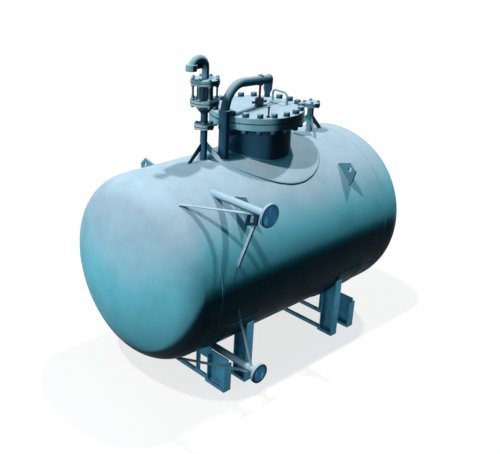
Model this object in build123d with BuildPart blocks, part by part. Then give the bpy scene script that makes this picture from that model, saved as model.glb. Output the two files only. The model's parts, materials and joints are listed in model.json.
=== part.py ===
from build123d import *
import math
import os

os.makedirs("parts", exist_ok=True)

# Frame
# The floor is z = 0. The origin is under the middle of the overall length and width.
# X runs along the vessel, Y across it with the gauge nozzles on the -Y side, Z up.

# Shell
shell_radius = 800.0
shell_wall = 10.0
crown_share = 1.8
knuckle_share = 0.34
head_base_x = 1130.0
seam_x = 1040.0
floor_clearance = 200.0

# Gauge nozzles
gauge_x = -794.0
gauge_inset = 115.0
gauge_pipe_radius = 38.0
gauge_pipe_wall = 5.0
gauge_flange_thick = 20.0
gauge_cap_thick = 4.0
gauge_standoff = 206.0
upper_flange_radius = 92.5
upper_cap_radius = 84.0
lower_flange_radius = 85.0
lower_cap_radius = 68.0
gauge_brace_width = 44.0
gauge_brace_thick = 6.0
head_foot_x = -1150.0
head_foot_inset = 383.0
side_foot_x = -870.0
side_foot_z = 180.0
grip_setback = 101.0

# Manway
manway_x = 82.0
neck_radius = 309.0
neck_wall = 12.0
rim_standoff = 102.0
neck_rise = 251.0
manway_flange_thick = 52.0
gasket_thick = 4.0
gasket_margin = 35.0
cover_thick = 48.0
cover_edge = 3.0
manway_bolt_inset = 31.0
manway_bolt_count = 20
manway_bolt_start = 11.7
manway_hole_radius = 16.5
pad_thick = 12.0
pad_shift = 28.0
pad_end_margin = 159.0
pad_side_margin = 117.0
weld_gap = 1.0

# Cover fittings
hub_x = 104.0
hub_y = -6.0
hub_radius = 38.0
hub_height = 72.0
hub_bar_radius = 11.0
hub_bar_half = 70.0
hub_bar_heading = -15.0
hub_bar_level = 38.0
handle_reach = 247.0
handle_heading = -9.0
handle_half = 97.0
handle_height = 104.0
handle_bar_radius = 9.5
handle_corner = 40.0

# Davit
post_clearance = 56.0
post_y = -82.0
sleeve_radius = 44.45
sleeve_rise = 405.0
arm_radius = 38.05
arm_wall = 5.0
arm_rise = 605.0
arm_bend = 212.0
arm_droop = 5.0
arm_overhang = 120.0
arm_insert = 260.0
running_gap = 0.9
collar_radius = 54.0
collar_height = 14.0
screw_radius = 11.0
screw_stand = 6.0
boss_radius = 24.0
boss_reach = 5.0
tongue_half = 42.0
tongue_thick = 10.0
tongue_shoulder_rise = 130.0
tongue_low_rise = 61.0
tongue_tip_half = 10.0
bracket_rise = 90.0
bracket_spacing = 100.0
bracket_thick = 10.0
bracket_half = 30.0

# Vent stack
vent_clearance = 76.0
small_pipe_radius = 30.15
small_pipe_wall = 3.5
small_flange_radius = 82.5
small_flange_thick = 18.0
small_face_radius = 51.0
vent_low_rise = 297.0
vent_cone_height = 200.0
vent_body_height = 165.0
face_raise = 1.0
wide_flange_radius = 120.0
wide_flange_thick = 20.0
wide_face_radius = 88.0
body_radius = 66.5
body_wall = 6.0
cone_top_drop = 54.0
cone_height = 42.0
bend_radius = 76.0
bend_rise = 112.0
bell_radius = 46.0
bell_drop = 12.0
bell_height = 50.0

# Blinded nozzle
stub_clearance = 133.0
stub_rise = 240.0
small_bolt_circle = 62.5
small_hole_radius = 9.0
small_bolt_count = 4
small_bolt_start = 45.0
wide_bolt_circle = 105.0
wide_hole_radius = 9.0
wide_bolt_count = 8
wide_bolt_start = 22.5

# Nozzle braces
brace_width = 40.0
brace_thick = 6.0
brace_spread = 222.0
brace_rise = 160.0

# Lifting lugs
lug_x = 650.0
lug_angle = 45.0
lug_thick = 20.0
lug_root = 210.0
lug_cheek = 25.0
lug_height = 125.0
lug_crown = 90.0
lug_hole_radius = 20.0

# Saddles
near_saddle_x = -715.0
far_saddle_x = 681.0
saddle_length = 340.0
saddle_pad_angle = 65.5
outer_frame_offset = 131.0
inner_frame_offset = 115.0
base_inset = 100.0
base_width = 80.0
base_thick = 30.0
base_lip = 20.0
rail_width = 30.0
frame_plate = 12.0
inner_leg_depth = 145.0
outer_leg_depth = 210.0
leg_clearance = 8.0
web_depth = 165.0
web_top_rise = 42.0
window_margin = 35.0
window_sill = 4.0
window_height = 180.0
window_corner = 18.0
rib_width = 30.0

# Derived places
axis_height = shell_radius + floor_clearance
crown_radius = crown_share * shell_radius
knuckle_radius = knuckle_share * shell_radius
gauge_offset_z = shell_radius - gauge_inset
gauge_reach = shell_radius + gauge_standoff
head_foot_out = shell_radius - head_foot_inset
brace_grip_out = gauge_reach - grip_setback
manway_flange_low = shell_radius + neck_rise
manway_flange_radius = neck_radius + rim_standoff
manway_bolt_circle = manway_flange_radius - manway_bolt_inset
gasket_radius = manway_bolt_circle - gasket_margin
pad_centre_x = manway_x + pad_shift
pad_half_length = manway_flange_radius + pad_end_margin
pad_half_width = manway_flange_radius + pad_side_margin
post_x = manway_x - manway_flange_radius - post_clearance
vent_x = pad_centre_x - pad_half_length - vent_clearance
stub_x = pad_centre_x + pad_half_length + stub_clearance
sleeve_top = shell_radius + sleeve_rise
arm_level = shell_radius + arm_rise
bracket_levels = (shell_radius + bracket_rise, shell_radius + bracket_rise + bracket_spacing)
vent_low_joint = shell_radius + vent_low_rise
vent_mid_joint = vent_low_joint + vent_cone_height
vent_top_joint = vent_mid_joint + vent_body_height
cone_top = vent_mid_joint - cone_top_drop
cone_low = cone_top - cone_height
bend_level = vent_top_joint + bend_rise
bell_low = bend_level - bell_drop
bell_top = bell_low + bell_height
stub_flange_low = shell_radius + stub_rise
brace_top = shell_radius + brace_rise
base_reach = shell_radius - base_inset
inner_leg_inside = base_reach - inner_leg_depth
outer_leg_inside = base_reach - outer_leg_depth
outer_leg_top = -gauge_offset_z - gauge_pipe_radius - leg_clearance
web_inside = outer_leg_inside - web_depth
window_inside = web_inside + window_margin
window_outside = outer_leg_inside - frame_plate

# The vessel axis stands off the origin so that the gauge caps and the back of the shell are equally far out
axis_y = (gauge_reach - shell_radius) / 2

neck_inner = neck_radius - neck_wall
small_bore = small_pipe_radius - small_pipe_wall
body_bore = body_radius - body_wall
manway_flange_top = manway_flange_low + manway_flange_thick
cover_low = manway_flange_top + gasket_thick
cover_top = cover_low + cover_thick
tongue_shoulder = cover_top + tongue_shoulder_rise
tongue_low = cover_top + tongue_low_rise
stub_joint = stub_flange_low + small_flange_thick + face_raise
crown_reach = math.sqrt((crown_radius - knuckle_radius) ** 2 - (shell_radius - knuckle_radius) ** 2)
crown_angle = math.degrees(math.atan2(shell_radius - knuckle_radius, crown_reach))
crown_x = head_base_x - crown_reach
head_tip_x = crown_x + crown_radius
vessel_axis = Axis((0, axis_y, axis_height), (1, 0, 0))
cross_plane = Plane(origin=(0, axis_y, axis_height), x_dir=(0, 1, 0), z_dir=(1, 0, 0))
long_plane = Plane(origin=(0, axis_y, axis_height), x_dir=(1, 0, 0), z_dir=(0, -1, 0))
plan_plane = Plane(origin=(0, axis_y, axis_height), x_dir=(1, 0, 0), z_dir=(0, 0, 1))


# Outside of the closed shell, which cuts the foot of all that is welded to it
with BuildPart() as vessel_outside:
    with BuildSketch(long_plane):
        with BuildLine():
            Line((0, 0), (0, shell_radius))
            Line((0, shell_radius), (head_base_x, shell_radius))
            CenterArc((head_base_x, shell_radius - knuckle_radius), knuckle_radius, 90, crown_angle - 90)
            CenterArc((crown_x, 0), crown_radius, crown_angle, -crown_angle)
            Line((head_tip_x, 0), (0, 0))
        make_face()
    revolve(axis=vessel_axis)
    mirror(about=Plane.YZ)

# Vessel shell
with BuildPart() as shell_barrel:
    with BuildSketch(cross_plane.offset(-seam_x)):
        Circle(shell_radius)
        Circle(shell_radius - shell_wall, mode=Mode.SUBTRACT)
    extrude(amount=2 * seam_x)
    with BuildSketch(plan_plane):
        with Locations((manway_x, 0)):
            Circle(neck_inner)
        with Locations((vent_x, 0), (stub_x, 0)):
            Circle(small_pipe_radius - small_pipe_wall)
    extrude(amount=shell_radius + shell_wall, mode=Mode.SUBTRACT)
    with BuildSketch(long_plane):
        with Locations((gauge_x, gauge_offset_z), (gauge_x, -gauge_offset_z)):
            Circle(gauge_pipe_radius - gauge_pipe_wall)
    extrude(amount=shell_radius, mode=Mode.SUBTRACT)
shell_barrel.part.label = "shell_barrel"
export_step(shell_barrel.part, "parts/shell_barrel.step")

with BuildPart() as far_head:
    with BuildSketch(long_plane):
        with BuildLine():
            Line((seam_x, shell_radius), (head_base_x, shell_radius))
            CenterArc((head_base_x, shell_radius - knuckle_radius), knuckle_radius, 90, crown_angle - 90)
            CenterArc((crown_x, 0), crown_radius, crown_angle, -crown_angle)
            Line((head_tip_x, 0), (head_tip_x - shell_wall, 0))
            CenterArc((crown_x, 0), crown_radius - shell_wall, 0, crown_angle)
            CenterArc(
                (head_base_x, shell_radius - knuckle_radius),
                knuckle_radius - shell_wall,
                crown_angle,
                90 - crown_angle,
            )
            Line((head_base_x, shell_radius - shell_wall), (seam_x, shell_radius - shell_wall))
            Line((seam_x, shell_radius - shell_wall), (seam_x, shell_radius))
        make_face()
    revolve(axis=vessel_axis)
far_head.part.label = "far_head"
export_step(far_head.part, "parts/far_head.step")

with BuildPart() as near_head:
    mirror(far_head.part, about=Plane.YZ)
near_head.part.label = "near_head"
export_step(near_head.part, "parts/near_head.step")

# Manway
with BuildPart() as manway_pad:
    with BuildSketch(cross_plane.offset(pad_centre_x - pad_half_length)):
        Circle(shell_radius + pad_thick)
        Circle(shell_radius, mode=Mode.SUBTRACT)
    extrude(amount=2 * pad_half_length)
    with BuildSketch(plan_plane):
        with Locations((pad_centre_x, 0)):
            Ellipse(pad_half_length, pad_half_width)
        with Locations((manway_x, 0)):
            Circle(neck_radius + weld_gap, mode=Mode.SUBTRACT)
    extrude(amount=shell_radius + 2 * pad_thick, mode=Mode.INTERSECT)
manway_pad.part.label = "manway_pad"
export_step(manway_pad.part, "parts/manway_pad.step")

with BuildPart() as manway_neck:
    with BuildSketch(plan_plane):
        with Locations((manway_x, 0)):
            Circle(neck_radius)
            Circle(neck_inner, mode=Mode.SUBTRACT)
    extrude(amount=manway_flange_low)
    add(vessel_outside.part, mode=Mode.SUBTRACT)
manway_neck.part.label = "manway_neck"
export_step(manway_neck.part, "parts/manway_neck.step")

with BuildPart() as manway_flange:
    with BuildSketch(plan_plane.offset(manway_flange_low)):
        with Locations((manway_x, 0)):
            Circle(manway_flange_radius)
            Circle(neck_inner, mode=Mode.SUBTRACT)
            with PolarLocations(manway_bolt_circle, manway_bolt_count, start_angle=manway_bolt_start):
                Circle(manway_hole_radius, mode=Mode.SUBTRACT)
    extrude(amount=manway_flange_thick)
manway_flange.part.label = "manway_flange"
export_step(manway_flange.part, "parts/manway_flange.step")

with BuildPart() as manway_gasket:
    with BuildSketch(plan_plane.offset(manway_flange_top)):
        with Locations((manway_x, 0)):
            Circle(gasket_radius)
            Circle(neck_inner, mode=Mode.SUBTRACT)
    extrude(amount=gasket_thick)
manway_gasket.part.label = "manway_gasket"
export_step(manway_gasket.part, "parts/manway_gasket.step")

with BuildPart() as manway_cover:
    with BuildSketch(plan_plane.offset(cover_low)):
        with Locations((manway_x, 0)):
            Circle(manway_flange_radius)
    extrude(amount=cover_thick)
    chamfer(manway_cover.faces().sort_by(Axis.Z)[-1].edges(), length=cover_edge)
    with BuildSketch(plan_plane.offset(cover_low)):
        with Locations((manway_x, 0)):
            with PolarLocations(manway_bolt_circle, manway_bolt_count, start_angle=manway_bolt_start):
                Circle(manway_hole_radius)
    extrude(amount=cover_thick, mode=Mode.SUBTRACT)
manway_cover.part.label = "manway_cover"
export_step(manway_cover.part, "parts/manway_cover.step")

# Cover fittings: hub with its turning bar, and the grab handle
bar_out = Vector(math.cos(math.radians(hub_bar_heading)), math.sin(math.radians(hub_bar_heading)), 0)
with BuildPart() as cover_hub:
    with BuildSketch(plan_plane.offset(cover_top)):
        with Locations((hub_x, hub_y)):
            Circle(hub_radius)
    extrude(amount=hub_height)
    chamfer(cover_hub.faces().sort_by(Axis.Z)[-1].edges(), length=cover_edge)
    with BuildSketch(Plane(origin=(hub_x, axis_y + hub_y, axis_height + cover_top + hub_bar_level), z_dir=bar_out)):
        Circle(hub_bar_radius)
    extrude(amount=hub_bar_half, both=True)
cover_hub.part.label = "cover_hub"
export_step(cover_hub.part, "parts/cover_hub.step")

handle_out = Vector(math.cos(math.radians(handle_heading)), math.sin(math.radians(handle_heading)), 0)
handle_plane = Plane(
    origin=Vector(manway_x, axis_y, axis_height + cover_top) + handle_reach * handle_out,
    x_dir=(handle_out.Y, -handle_out.X, 0),
    z_dir=-handle_out,
)
with BuildPart() as cover_handle:
    with BuildLine(handle_plane) as handle_path:
        hoop = Polyline(
            (-handle_half, 0),
            (-handle_half, handle_height),
            (handle_half, handle_height),
            (handle_half, 0),
        )
        fillet(handle_path.vertices().group_by(Axis.Z)[-1], radius=handle_corner)
    with BuildSketch(Plane(origin=handle_plane.from_local_coords((-handle_half, 0)), z_dir=(0, 0, 1))):
        Circle(handle_bar_radius)
    sweep(transition=Transition.ROUND)
cover_handle.part.label = "cover_handle"
export_step(cover_handle.part, "parts/cover_handle.step")

# Davit: sleeve on the pad, swan-neck arm with its end tongue, brackets and lifting screw
arm_run = math.hypot(hub_x - post_x, hub_y - post_y)
arm_heading = math.atan2(hub_y - post_y, hub_x - post_x)
arm_dir = Vector(math.cos(arm_heading), math.sin(arm_heading), 0)
post_plane = Plane(
    origin=(post_x, axis_y + post_y, axis_height),
    x_dir=arm_dir,
    z_dir=(0, 0, 1),
)
arm_side = Plane(
    origin=(post_x, axis_y + post_y, axis_height),
    x_dir=arm_dir,
    z_dir=(arm_dir.Y, -arm_dir.X, 0),
)
droop = math.radians(arm_droop)
bend_end = arm_bend * (1 + math.sin(droop))
bend_end_level = arm_level - arm_bend * (1 - math.cos(droop))
arm_end = arm_run + arm_overhang
arm_end_level = bend_end_level - (arm_end - bend_end) * math.tan(droop)
boss_level = bend_end_level - (arm_run - bend_end) * math.tan(droop)
screw_top = boss_level + arm_radius + boss_reach + screw_stand

with BuildPart() as davit_sleeve:
    with BuildSketch(post_plane.offset(shell_radius - pad_thick)):
        Circle(sleeve_radius)
        Circle(arm_radius + running_gap, mode=Mode.SUBTRACT)
    extrude(amount=sleeve_top - shell_radius + pad_thick)
    with BuildSketch(cross_plane.offset(post_x - 2 * sleeve_radius)):
        Circle(shell_radius + pad_thick)
    extrude(amount=4 * sleeve_radius, mode=Mode.SUBTRACT)
davit_sleeve.part.label = "davit_sleeve"
export_step(davit_sleeve.part, "parts/davit_sleeve.step")

with BuildPart() as davit_brackets:
    for level in bracket_levels:
        with BuildSketch(post_plane.offset(level)):
            with Locations((arm_run / 2, 0)):
                Rectangle(arm_run, 2 * bracket_half)
        extrude(amount=bracket_thick)
    with BuildSketch(plan_plane.offset(bracket_levels[0] - bracket_thick)):
        with Locations((manway_x, 0)):
            Circle(neck_radius)
        with Locations((post_x, post_y)):
            Circle(sleeve_radius)
    extrude(amount=bracket_levels[1] - bracket_levels[0] + 3 * bracket_thick, mode=Mode.SUBTRACT)
davit_brackets.part.label = "davit_brackets"
export_step(davit_brackets.part, "parts/davit_brackets.step")

with BuildPart() as davit_arm:
    with BuildLine(arm_side) as arm_path:
        Line((0, sleeve_top - arm_insert), (0, arm_level - arm_bend))
        CenterArc((arm_bend, arm_level - arm_bend), arm_bend, 180, -90 - arm_droop)
        Line((bend_end, bend_end_level), (arm_end, arm_end_level))
    with BuildSketch(post_plane.offset(sleeve_top - arm_insert)):
        Circle(arm_radius)
        Circle(arm_radius - arm_wall, mode=Mode.SUBTRACT)
    sweep()
    with BuildSketch(post_plane.offset(boss_level - arm_radius - boss_reach)):
        with Locations((arm_run, 0)):
            Circle(boss_radius)
    extrude(amount=2 * (arm_radius + boss_reach))
    with BuildSketch(post_plane.offset(boss_level - arm_radius - boss_reach)):
        with Locations((arm_run, 0)):
            Circle(screw_radius + running_gap)
    extrude(amount=2 * (arm_radius + boss_reach), mode=Mode.SUBTRACT)
    with BuildSketch(post_plane.offset(sleeve_top)):
        Circle(collar_radius)
        Circle(arm_radius - arm_wall / 2, mode=Mode.SUBTRACT)
    extrude(amount=collar_height)
davit_arm.part.label = "davit_arm"
export_step(davit_arm.part, "parts/davit_arm.step")

# The tongue closes the free end of the arm and hangs below it
end_plane = Plane(
    origin=arm_side.from_local_coords((arm_end, arm_end_level)),
    x_dir=(-arm_dir.Y, arm_dir.X, 0),
    z_dir=arm_dir * math.cos(droop) - Vector(0, 0, 1) * math.sin(droop),
)
with BuildPart() as davit_tongue:
    with BuildSketch(end_plane):
        Circle(tongue_half)
        Polygon(
            (-tongue_half, 0),
            (-tongue_half, tongue_shoulder - arm_end_level),
            (-tongue_tip_half, tongue_low - arm_end_level),
            (tongue_tip_half, tongue_low - arm_end_level),
            (tongue_half, tongue_shoulder - arm_end_level),
            (tongue_half, 0),
            align=None,
        )
    extrude(amount=tongue_thick)
davit_tongue.part.label = "davit_tongue"
export_step(davit_tongue.part, "parts/davit_tongue.step")

with BuildPart() as lifting_screw:
    with BuildSketch(post_plane.offset(cover_top + hub_height)):
        with Locations((arm_run, 0)):
            Circle(screw_radius)
    extrude(amount=screw_top - cover_top - hub_height)
lifting_screw.part.label = "lifting_screw"
export_step(lifting_screw.part, "parts/lifting_screw.step")

# Vent stack
with BuildPart() as vent_nozzle:
    with BuildSketch(plan_plane):
        with Locations((vent_x, 0)):
            Circle(small_pipe_radius)
    extrude(amount=vent_low_joint - face_raise)
    with BuildSketch(plan_plane.offset(vent_low_joint - face_raise - small_flange_thick)):
        with Locations((vent_x, 0)):
            Circle(small_flange_radius)
            with PolarLocations(small_bolt_circle, small_bolt_count, start_angle=small_bolt_start):
                Circle(small_hole_radius, mode=Mode.SUBTRACT)
    extrude(amount=small_flange_thick)
    with BuildSketch(plan_plane.offset(vent_low_joint - face_raise)):
        with Locations((vent_x, 0)):
            Circle(small_face_radius)
    extrude(amount=face_raise)
    with BuildSketch(plan_plane):
        with Locations((vent_x, 0)):
            Circle(small_bore)
    extrude(amount=vent_low_joint, mode=Mode.SUBTRACT)
    add(vessel_outside.part, mode=Mode.SUBTRACT)
vent_nozzle.part.label = "vent_nozzle"
export_step(vent_nozzle.part, "parts/vent_nozzle.step")

with BuildPart() as vent_cone:
    low = vent_low_joint + face_raise
    high = vent_mid_joint - face_raise
    with BuildSketch(Plane(long_plane.origin + Vector(vent_x, 0, 0), x_dir=(1, 0, 0), z_dir=(0, -1, 0))):
        with BuildLine():
            Polyline(
                (small_bore, vent_low_joint),
                (small_face_radius, vent_low_joint),
                (small_face_radius, low),
                (small_flange_radius, low),
                (small_flange_radius, low + small_flange_thick),
                (small_pipe_radius, low + small_flange_thick),
                (small_pipe_radius, cone_low),
                (body_radius, cone_top),
                (body_radius, high - wide_flange_thick),
                (wide_flange_radius, high - wide_flange_thick),
                (wide_flange_radius, high),
                (wide_face_radius, high),
                (wide_face_radius, vent_mid_joint),
                (body_bore, vent_mid_joint),
                (body_bore, cone_top),
                (small_bore, cone_low),
                close=True,
            )
        make_face()
    revolve(axis=Axis((vent_x, axis_y, 0), (0, 0, 1)))
    with BuildSketch(plan_plane.offset(low)):
        with Locations((vent_x, 0)):
            with PolarLocations(small_bolt_circle, small_bolt_count, start_angle=small_bolt_start):
                Circle(small_hole_radius)
    extrude(amount=small_flange_thick, mode=Mode.SUBTRACT)
    with BuildSketch(plan_plane.offset(high - wide_flange_thick)):
        with Locations((vent_x, 0)):
            with PolarLocations(wide_bolt_circle, wide_bolt_count, start_angle=wide_bolt_start):
                Circle(wide_hole_radius)
    extrude(amount=wide_flange_thick, mode=Mode.SUBTRACT)
vent_cone.part.label = "vent_cone"
export_step(vent_cone.part, "parts/vent_cone.step")

with BuildPart() as vent_body:
    with BuildSketch(plan_plane.offset(vent_mid_joint + face_raise)):
        with Locations((vent_x, 0)):
            Circle(body_radius)
    extrude(amount=vent_top_joint - vent_mid_joint - 2 * face_raise)
    for level in (vent_mid_joint + face_raise, vent_top_joint - face_raise - wide_flange_thick):
        with BuildSketch(plan_plane.offset(level)):
            with Locations((vent_x, 0)):
                Circle(wide_flange_radius)
                with PolarLocations(wide_bolt_circle, wide_bolt_count, start_angle=wide_bolt_start):
                    Circle(wide_hole_radius, mode=Mode.SUBTRACT)
        extrude(amount=wide_flange_thick)
    for level in (vent_mid_joint, vent_top_joint - face_raise):
        with BuildSketch(plan_plane.offset(level)):
            with Locations((vent_x, 0)):
                Circle(wide_face_radius)
        extrude(amount=face_raise)
    with BuildSketch(plan_plane.offset(vent_mid_joint)):
        with Locations((vent_x, 0)):
            Circle(body_bore)
    extrude(amount=vent_top_joint - vent_mid_joint, mode=Mode.SUBTRACT)
vent_body.part.label = "vent_body"
export_step(vent_body.part, "parts/vent_body.step")

with BuildPart() as vent_bend:
    base = vent_top_joint + face_raise
    with BuildLine(long_plane) as bend_path:
        Line((vent_x, base), (vent_x, bend_level))
        CenterArc((vent_x - bend_radius, bend_level), bend_radius, 0, 180)
        Line((vent_x - 2 * bend_radius, bend_level), (vent_x - 2 * bend_radius, bell_low))
    with BuildSketch(plan_plane.offset(base)):
        with Locations((vent_x, 0)):
            Circle(small_pipe_radius)
    sweep()
    with BuildSketch(plan_plane.offset(base)):
        with Locations((vent_x, 0)):
            Circle(wide_flange_radius)
            with PolarLocations(wide_bolt_circle, wide_bolt_count, start_angle=wide_bolt_start):
                Circle(wide_hole_radius, mode=Mode.SUBTRACT)
    extrude(amount=wide_flange_thick)
    with BuildSketch(plan_plane.offset(vent_top_joint)):
        with Locations((vent_x, 0)):
            Circle(wide_face_radius)
    extrude(amount=face_raise)
    with BuildSketch(plan_plane.offset(bell_low)):
        with Locations((vent_x - 2 * bend_radius, 0)):
            Circle(bell_radius)
    extrude(amount=bell_top - bell_low)
    with BuildLine(long_plane) as bore_path:
        Line((vent_x, vent_top_joint), (vent_x, bend_level))
        CenterArc((vent_x - bend_radius, bend_level), bend_radius, 0, 180)
        Line((vent_x - 2 * bend_radius, bend_level), (vent_x - 2 * bend_radius, bell_low))
    with BuildSketch(plan_plane.offset(vent_top_joint)):
        with Locations((vent_x, 0)):
            Circle(small_bore)
    sweep(path=bore_path.wires()[0], mode=Mode.SUBTRACT)
vent_bend.part.label = "vent_bend"
export_step(vent_bend.part, "parts/vent_bend.step")

# Blinded nozzle
with BuildPart() as stub_nozzle:
    with BuildSketch(plan_plane):
        with Locations((stub_x, 0)):
            Circle(small_pipe_radius)
    extrude(amount=stub_flange_low)
    with BuildSketch(plan_plane.offset(stub_flange_low)):
        with Locations((stub_x, 0)):
            Circle(small_flange_radius)
            with PolarLocations(small_bolt_circle, small_bolt_count, start_angle=small_bolt_start):
                Circle(small_hole_radius, mode=Mode.SUBTRACT)
    extrude(amount=small_flange_thick)
    with BuildSketch(plan_plane.offset(stub_flange_low)):
        with Locations((stub_x, 0)):
            Circle(small_face_radius)
    extrude(amount=small_flange_thick + face_raise)
    with BuildSketch(plan_plane):
        with Locations((stub_x, 0)):
            Circle(small_bore)
    extrude(amount=stub_joint, mode=Mode.SUBTRACT)
    add(vessel_outside.part, mode=Mode.SUBTRACT)
stub_nozzle.part.label = "stub_nozzle"
export_step(stub_nozzle.part, "parts/stub_nozzle.step")

with BuildPart() as stub_blind:
    with BuildSketch(plan_plane.offset(stub_joint)):
        with Locations((stub_x, 0)):
            Circle(small_face_radius)
    extrude(amount=face_raise)
    with BuildSketch(plan_plane.offset(stub_joint + face_raise)):
        with Locations((stub_x, 0)):
            Circle(small_flange_radius)
            with PolarLocations(small_bolt_circle, small_bolt_count, start_angle=small_bolt_start):
                Circle(small_hole_radius, mode=Mode.SUBTRACT)
    extrude(amount=small_flange_thick)
stub_blind.part.label = "stub_blind"
export_step(stub_blind.part, "parts/stub_blind.step")

# Gauge nozzles, each with a cap and two flat braces, one to the head and one to the side of the shell
flange_face = gauge_reach - gauge_cap_thick
for name, sign, flange_radius, cap_radius in (
    ("upper", 1, upper_flange_radius, upper_cap_radius),
    ("lower", -1, lower_flange_radius, lower_cap_radius),
):
    level = sign * gauge_offset_z
    with BuildPart() as gauge_nozzle:
        with BuildSketch(long_plane):
            with Locations((gauge_x, level)):
                Circle(gauge_pipe_radius)
        extrude(amount=flange_face - gauge_flange_thick)
        with BuildSketch(long_plane.offset(flange_face - gauge_flange_thick)):
            with Locations((gauge_x, level)):
                Circle(flange_radius)
        extrude(amount=gauge_flange_thick)
        with BuildSketch(long_plane):
            with Locations((gauge_x, level)):
                Circle(gauge_pipe_radius - gauge_pipe_wall)
        extrude(amount=flange_face, mode=Mode.SUBTRACT)
        add(vessel_outside.part, mode=Mode.SUBTRACT)
    gauge_nozzle.part.label = name + "_gauge_nozzle"
    export_step(gauge_nozzle.part, "parts/" + name + "_gauge_nozzle.step")

    with BuildPart() as gauge_cap:
        with BuildSketch(long_plane.offset(flange_face)):
            with Locations((gauge_x, level)):
                Circle(cap_radius)
        extrude(amount=gauge_cap_thick)
    gauge_cap.part.label = name + "_gauge_cap"
    export_step(gauge_cap.part, "parts/" + name + "_gauge_cap.step")

    centre = Vector(0, axis_y, axis_height)
    head_foot = centre + Vector(head_foot_x, -head_foot_out, level)
    head_grip = centre + Vector(
        gauge_x - gauge_pipe_radius / 2,
        -brace_grip_out,
        level - sign * (gauge_pipe_radius - gauge_brace_thick),
    )
    side_foot = centre + Vector(
        side_foot_x,
        -math.sqrt(shell_radius ** 2 - side_foot_z ** 2),
        sign * side_foot_z,
    )
    side_grip = centre + Vector(gauge_x, -brace_grip_out, level)
    with BuildPart() as gauge_braces:
        for foot, grip, across in (
            (head_foot, head_grip, Vector(head_grip.Y - head_foot.Y, head_foot.X - head_grip.X, 0)),
            (side_foot, side_grip, Vector(1, 0, 0)),
        ):
            along = (grip - foot).normalized()
            with BuildSketch(Plane(origin=foot - along * gauge_pipe_radius, x_dir=across, z_dir=along)):
                Rectangle(gauge_brace_width, gauge_brace_thick)
            extrude(amount=(grip - foot).length + gauge_pipe_radius)
        with BuildSketch(long_plane):
            with Locations((gauge_x, level)):
                Circle(gauge_pipe_radius)
        extrude(amount=gauge_reach, mode=Mode.SUBTRACT)
        add(vessel_outside.part, mode=Mode.SUBTRACT)
    gauge_braces.part.label = name + "_gauge_braces"
    export_step(gauge_braces.part, "parts/" + name + "_gauge_braces.step")

# Braces of the two vertical nozzles
for name, centre_x, headings in (("vent", vent_x, (180, 60, -60)), ("stub", stub_x, (0, 120, -120))):
    with BuildPart() as braces:
        for heading in headings:
            out = Vector(math.cos(math.radians(heading)), math.sin(math.radians(heading)), 0)
            side = Plane(
                origin=(centre_x, axis_y, axis_height),
                x_dir=out,
                z_dir=(out.Y, -out.X, 0),
            )
            with BuildSketch(side.offset(-brace_thick / 2)):
                Polygon(
                    (0, brace_top),
                    (0, brace_top - brace_width),
                    (brace_spread - brace_width, shell_radius - brace_width),
                    (brace_spread, shell_radius - brace_width),
                    (small_pipe_radius, brace_top),
                    align=None,
                )
            extrude(amount=brace_thick)
        with BuildSketch(plan_plane):
            with Locations((centre_x, 0)):
                Circle(small_pipe_radius)
        extrude(amount=2 * shell_radius, mode=Mode.SUBTRACT)
        add(vessel_outside.part, mode=Mode.SUBTRACT)
    braces.part.label = name + "_braces"
    export_step(braces.part, "parts/" + name + "_braces.step")

# Lifting lugs
for name, sign in (("near", -1), ("far", 1)):
    with BuildPart() as lugs:
        for side in (-1, 1):
            angle = math.radians(lug_angle)
            outward = Vector(0, side * math.cos(angle), math.sin(angle))
            along = Vector(0, -side * math.sin(angle), math.cos(angle))
            face = Plane(
                origin=(sign * lug_x, axis_y, axis_height),
                x_dir=along,
                z_dir=along.cross(outward),
            )
            with BuildSketch(face.offset(-lug_thick / 2)):
                Polygon(
                    (-lug_root / 2, shell_radius - lug_cheek),
                    (lug_root / 2, shell_radius - lug_cheek),
                    (lug_root / 2, shell_radius + lug_cheek),
                    (lug_crown / 2, shell_radius + lug_height),
                    (-lug_crown / 2, shell_radius + lug_height),
                    (-lug_root / 2, shell_radius + lug_cheek),
                    align=None,
                )
                with Locations((0, shell_radius + lug_height - 2 * lug_hole_radius)):
                    Circle(lug_hole_radius, mode=Mode.SUBTRACT)
            extrude(amount=lug_thick)
        add(vessel_outside.part, mode=Mode.SUBTRACT)
    lugs.part.label = name + "_lifting_lugs"
    export_step(lugs.part, "parts/" + name + "_lifting_lugs.step")

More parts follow.
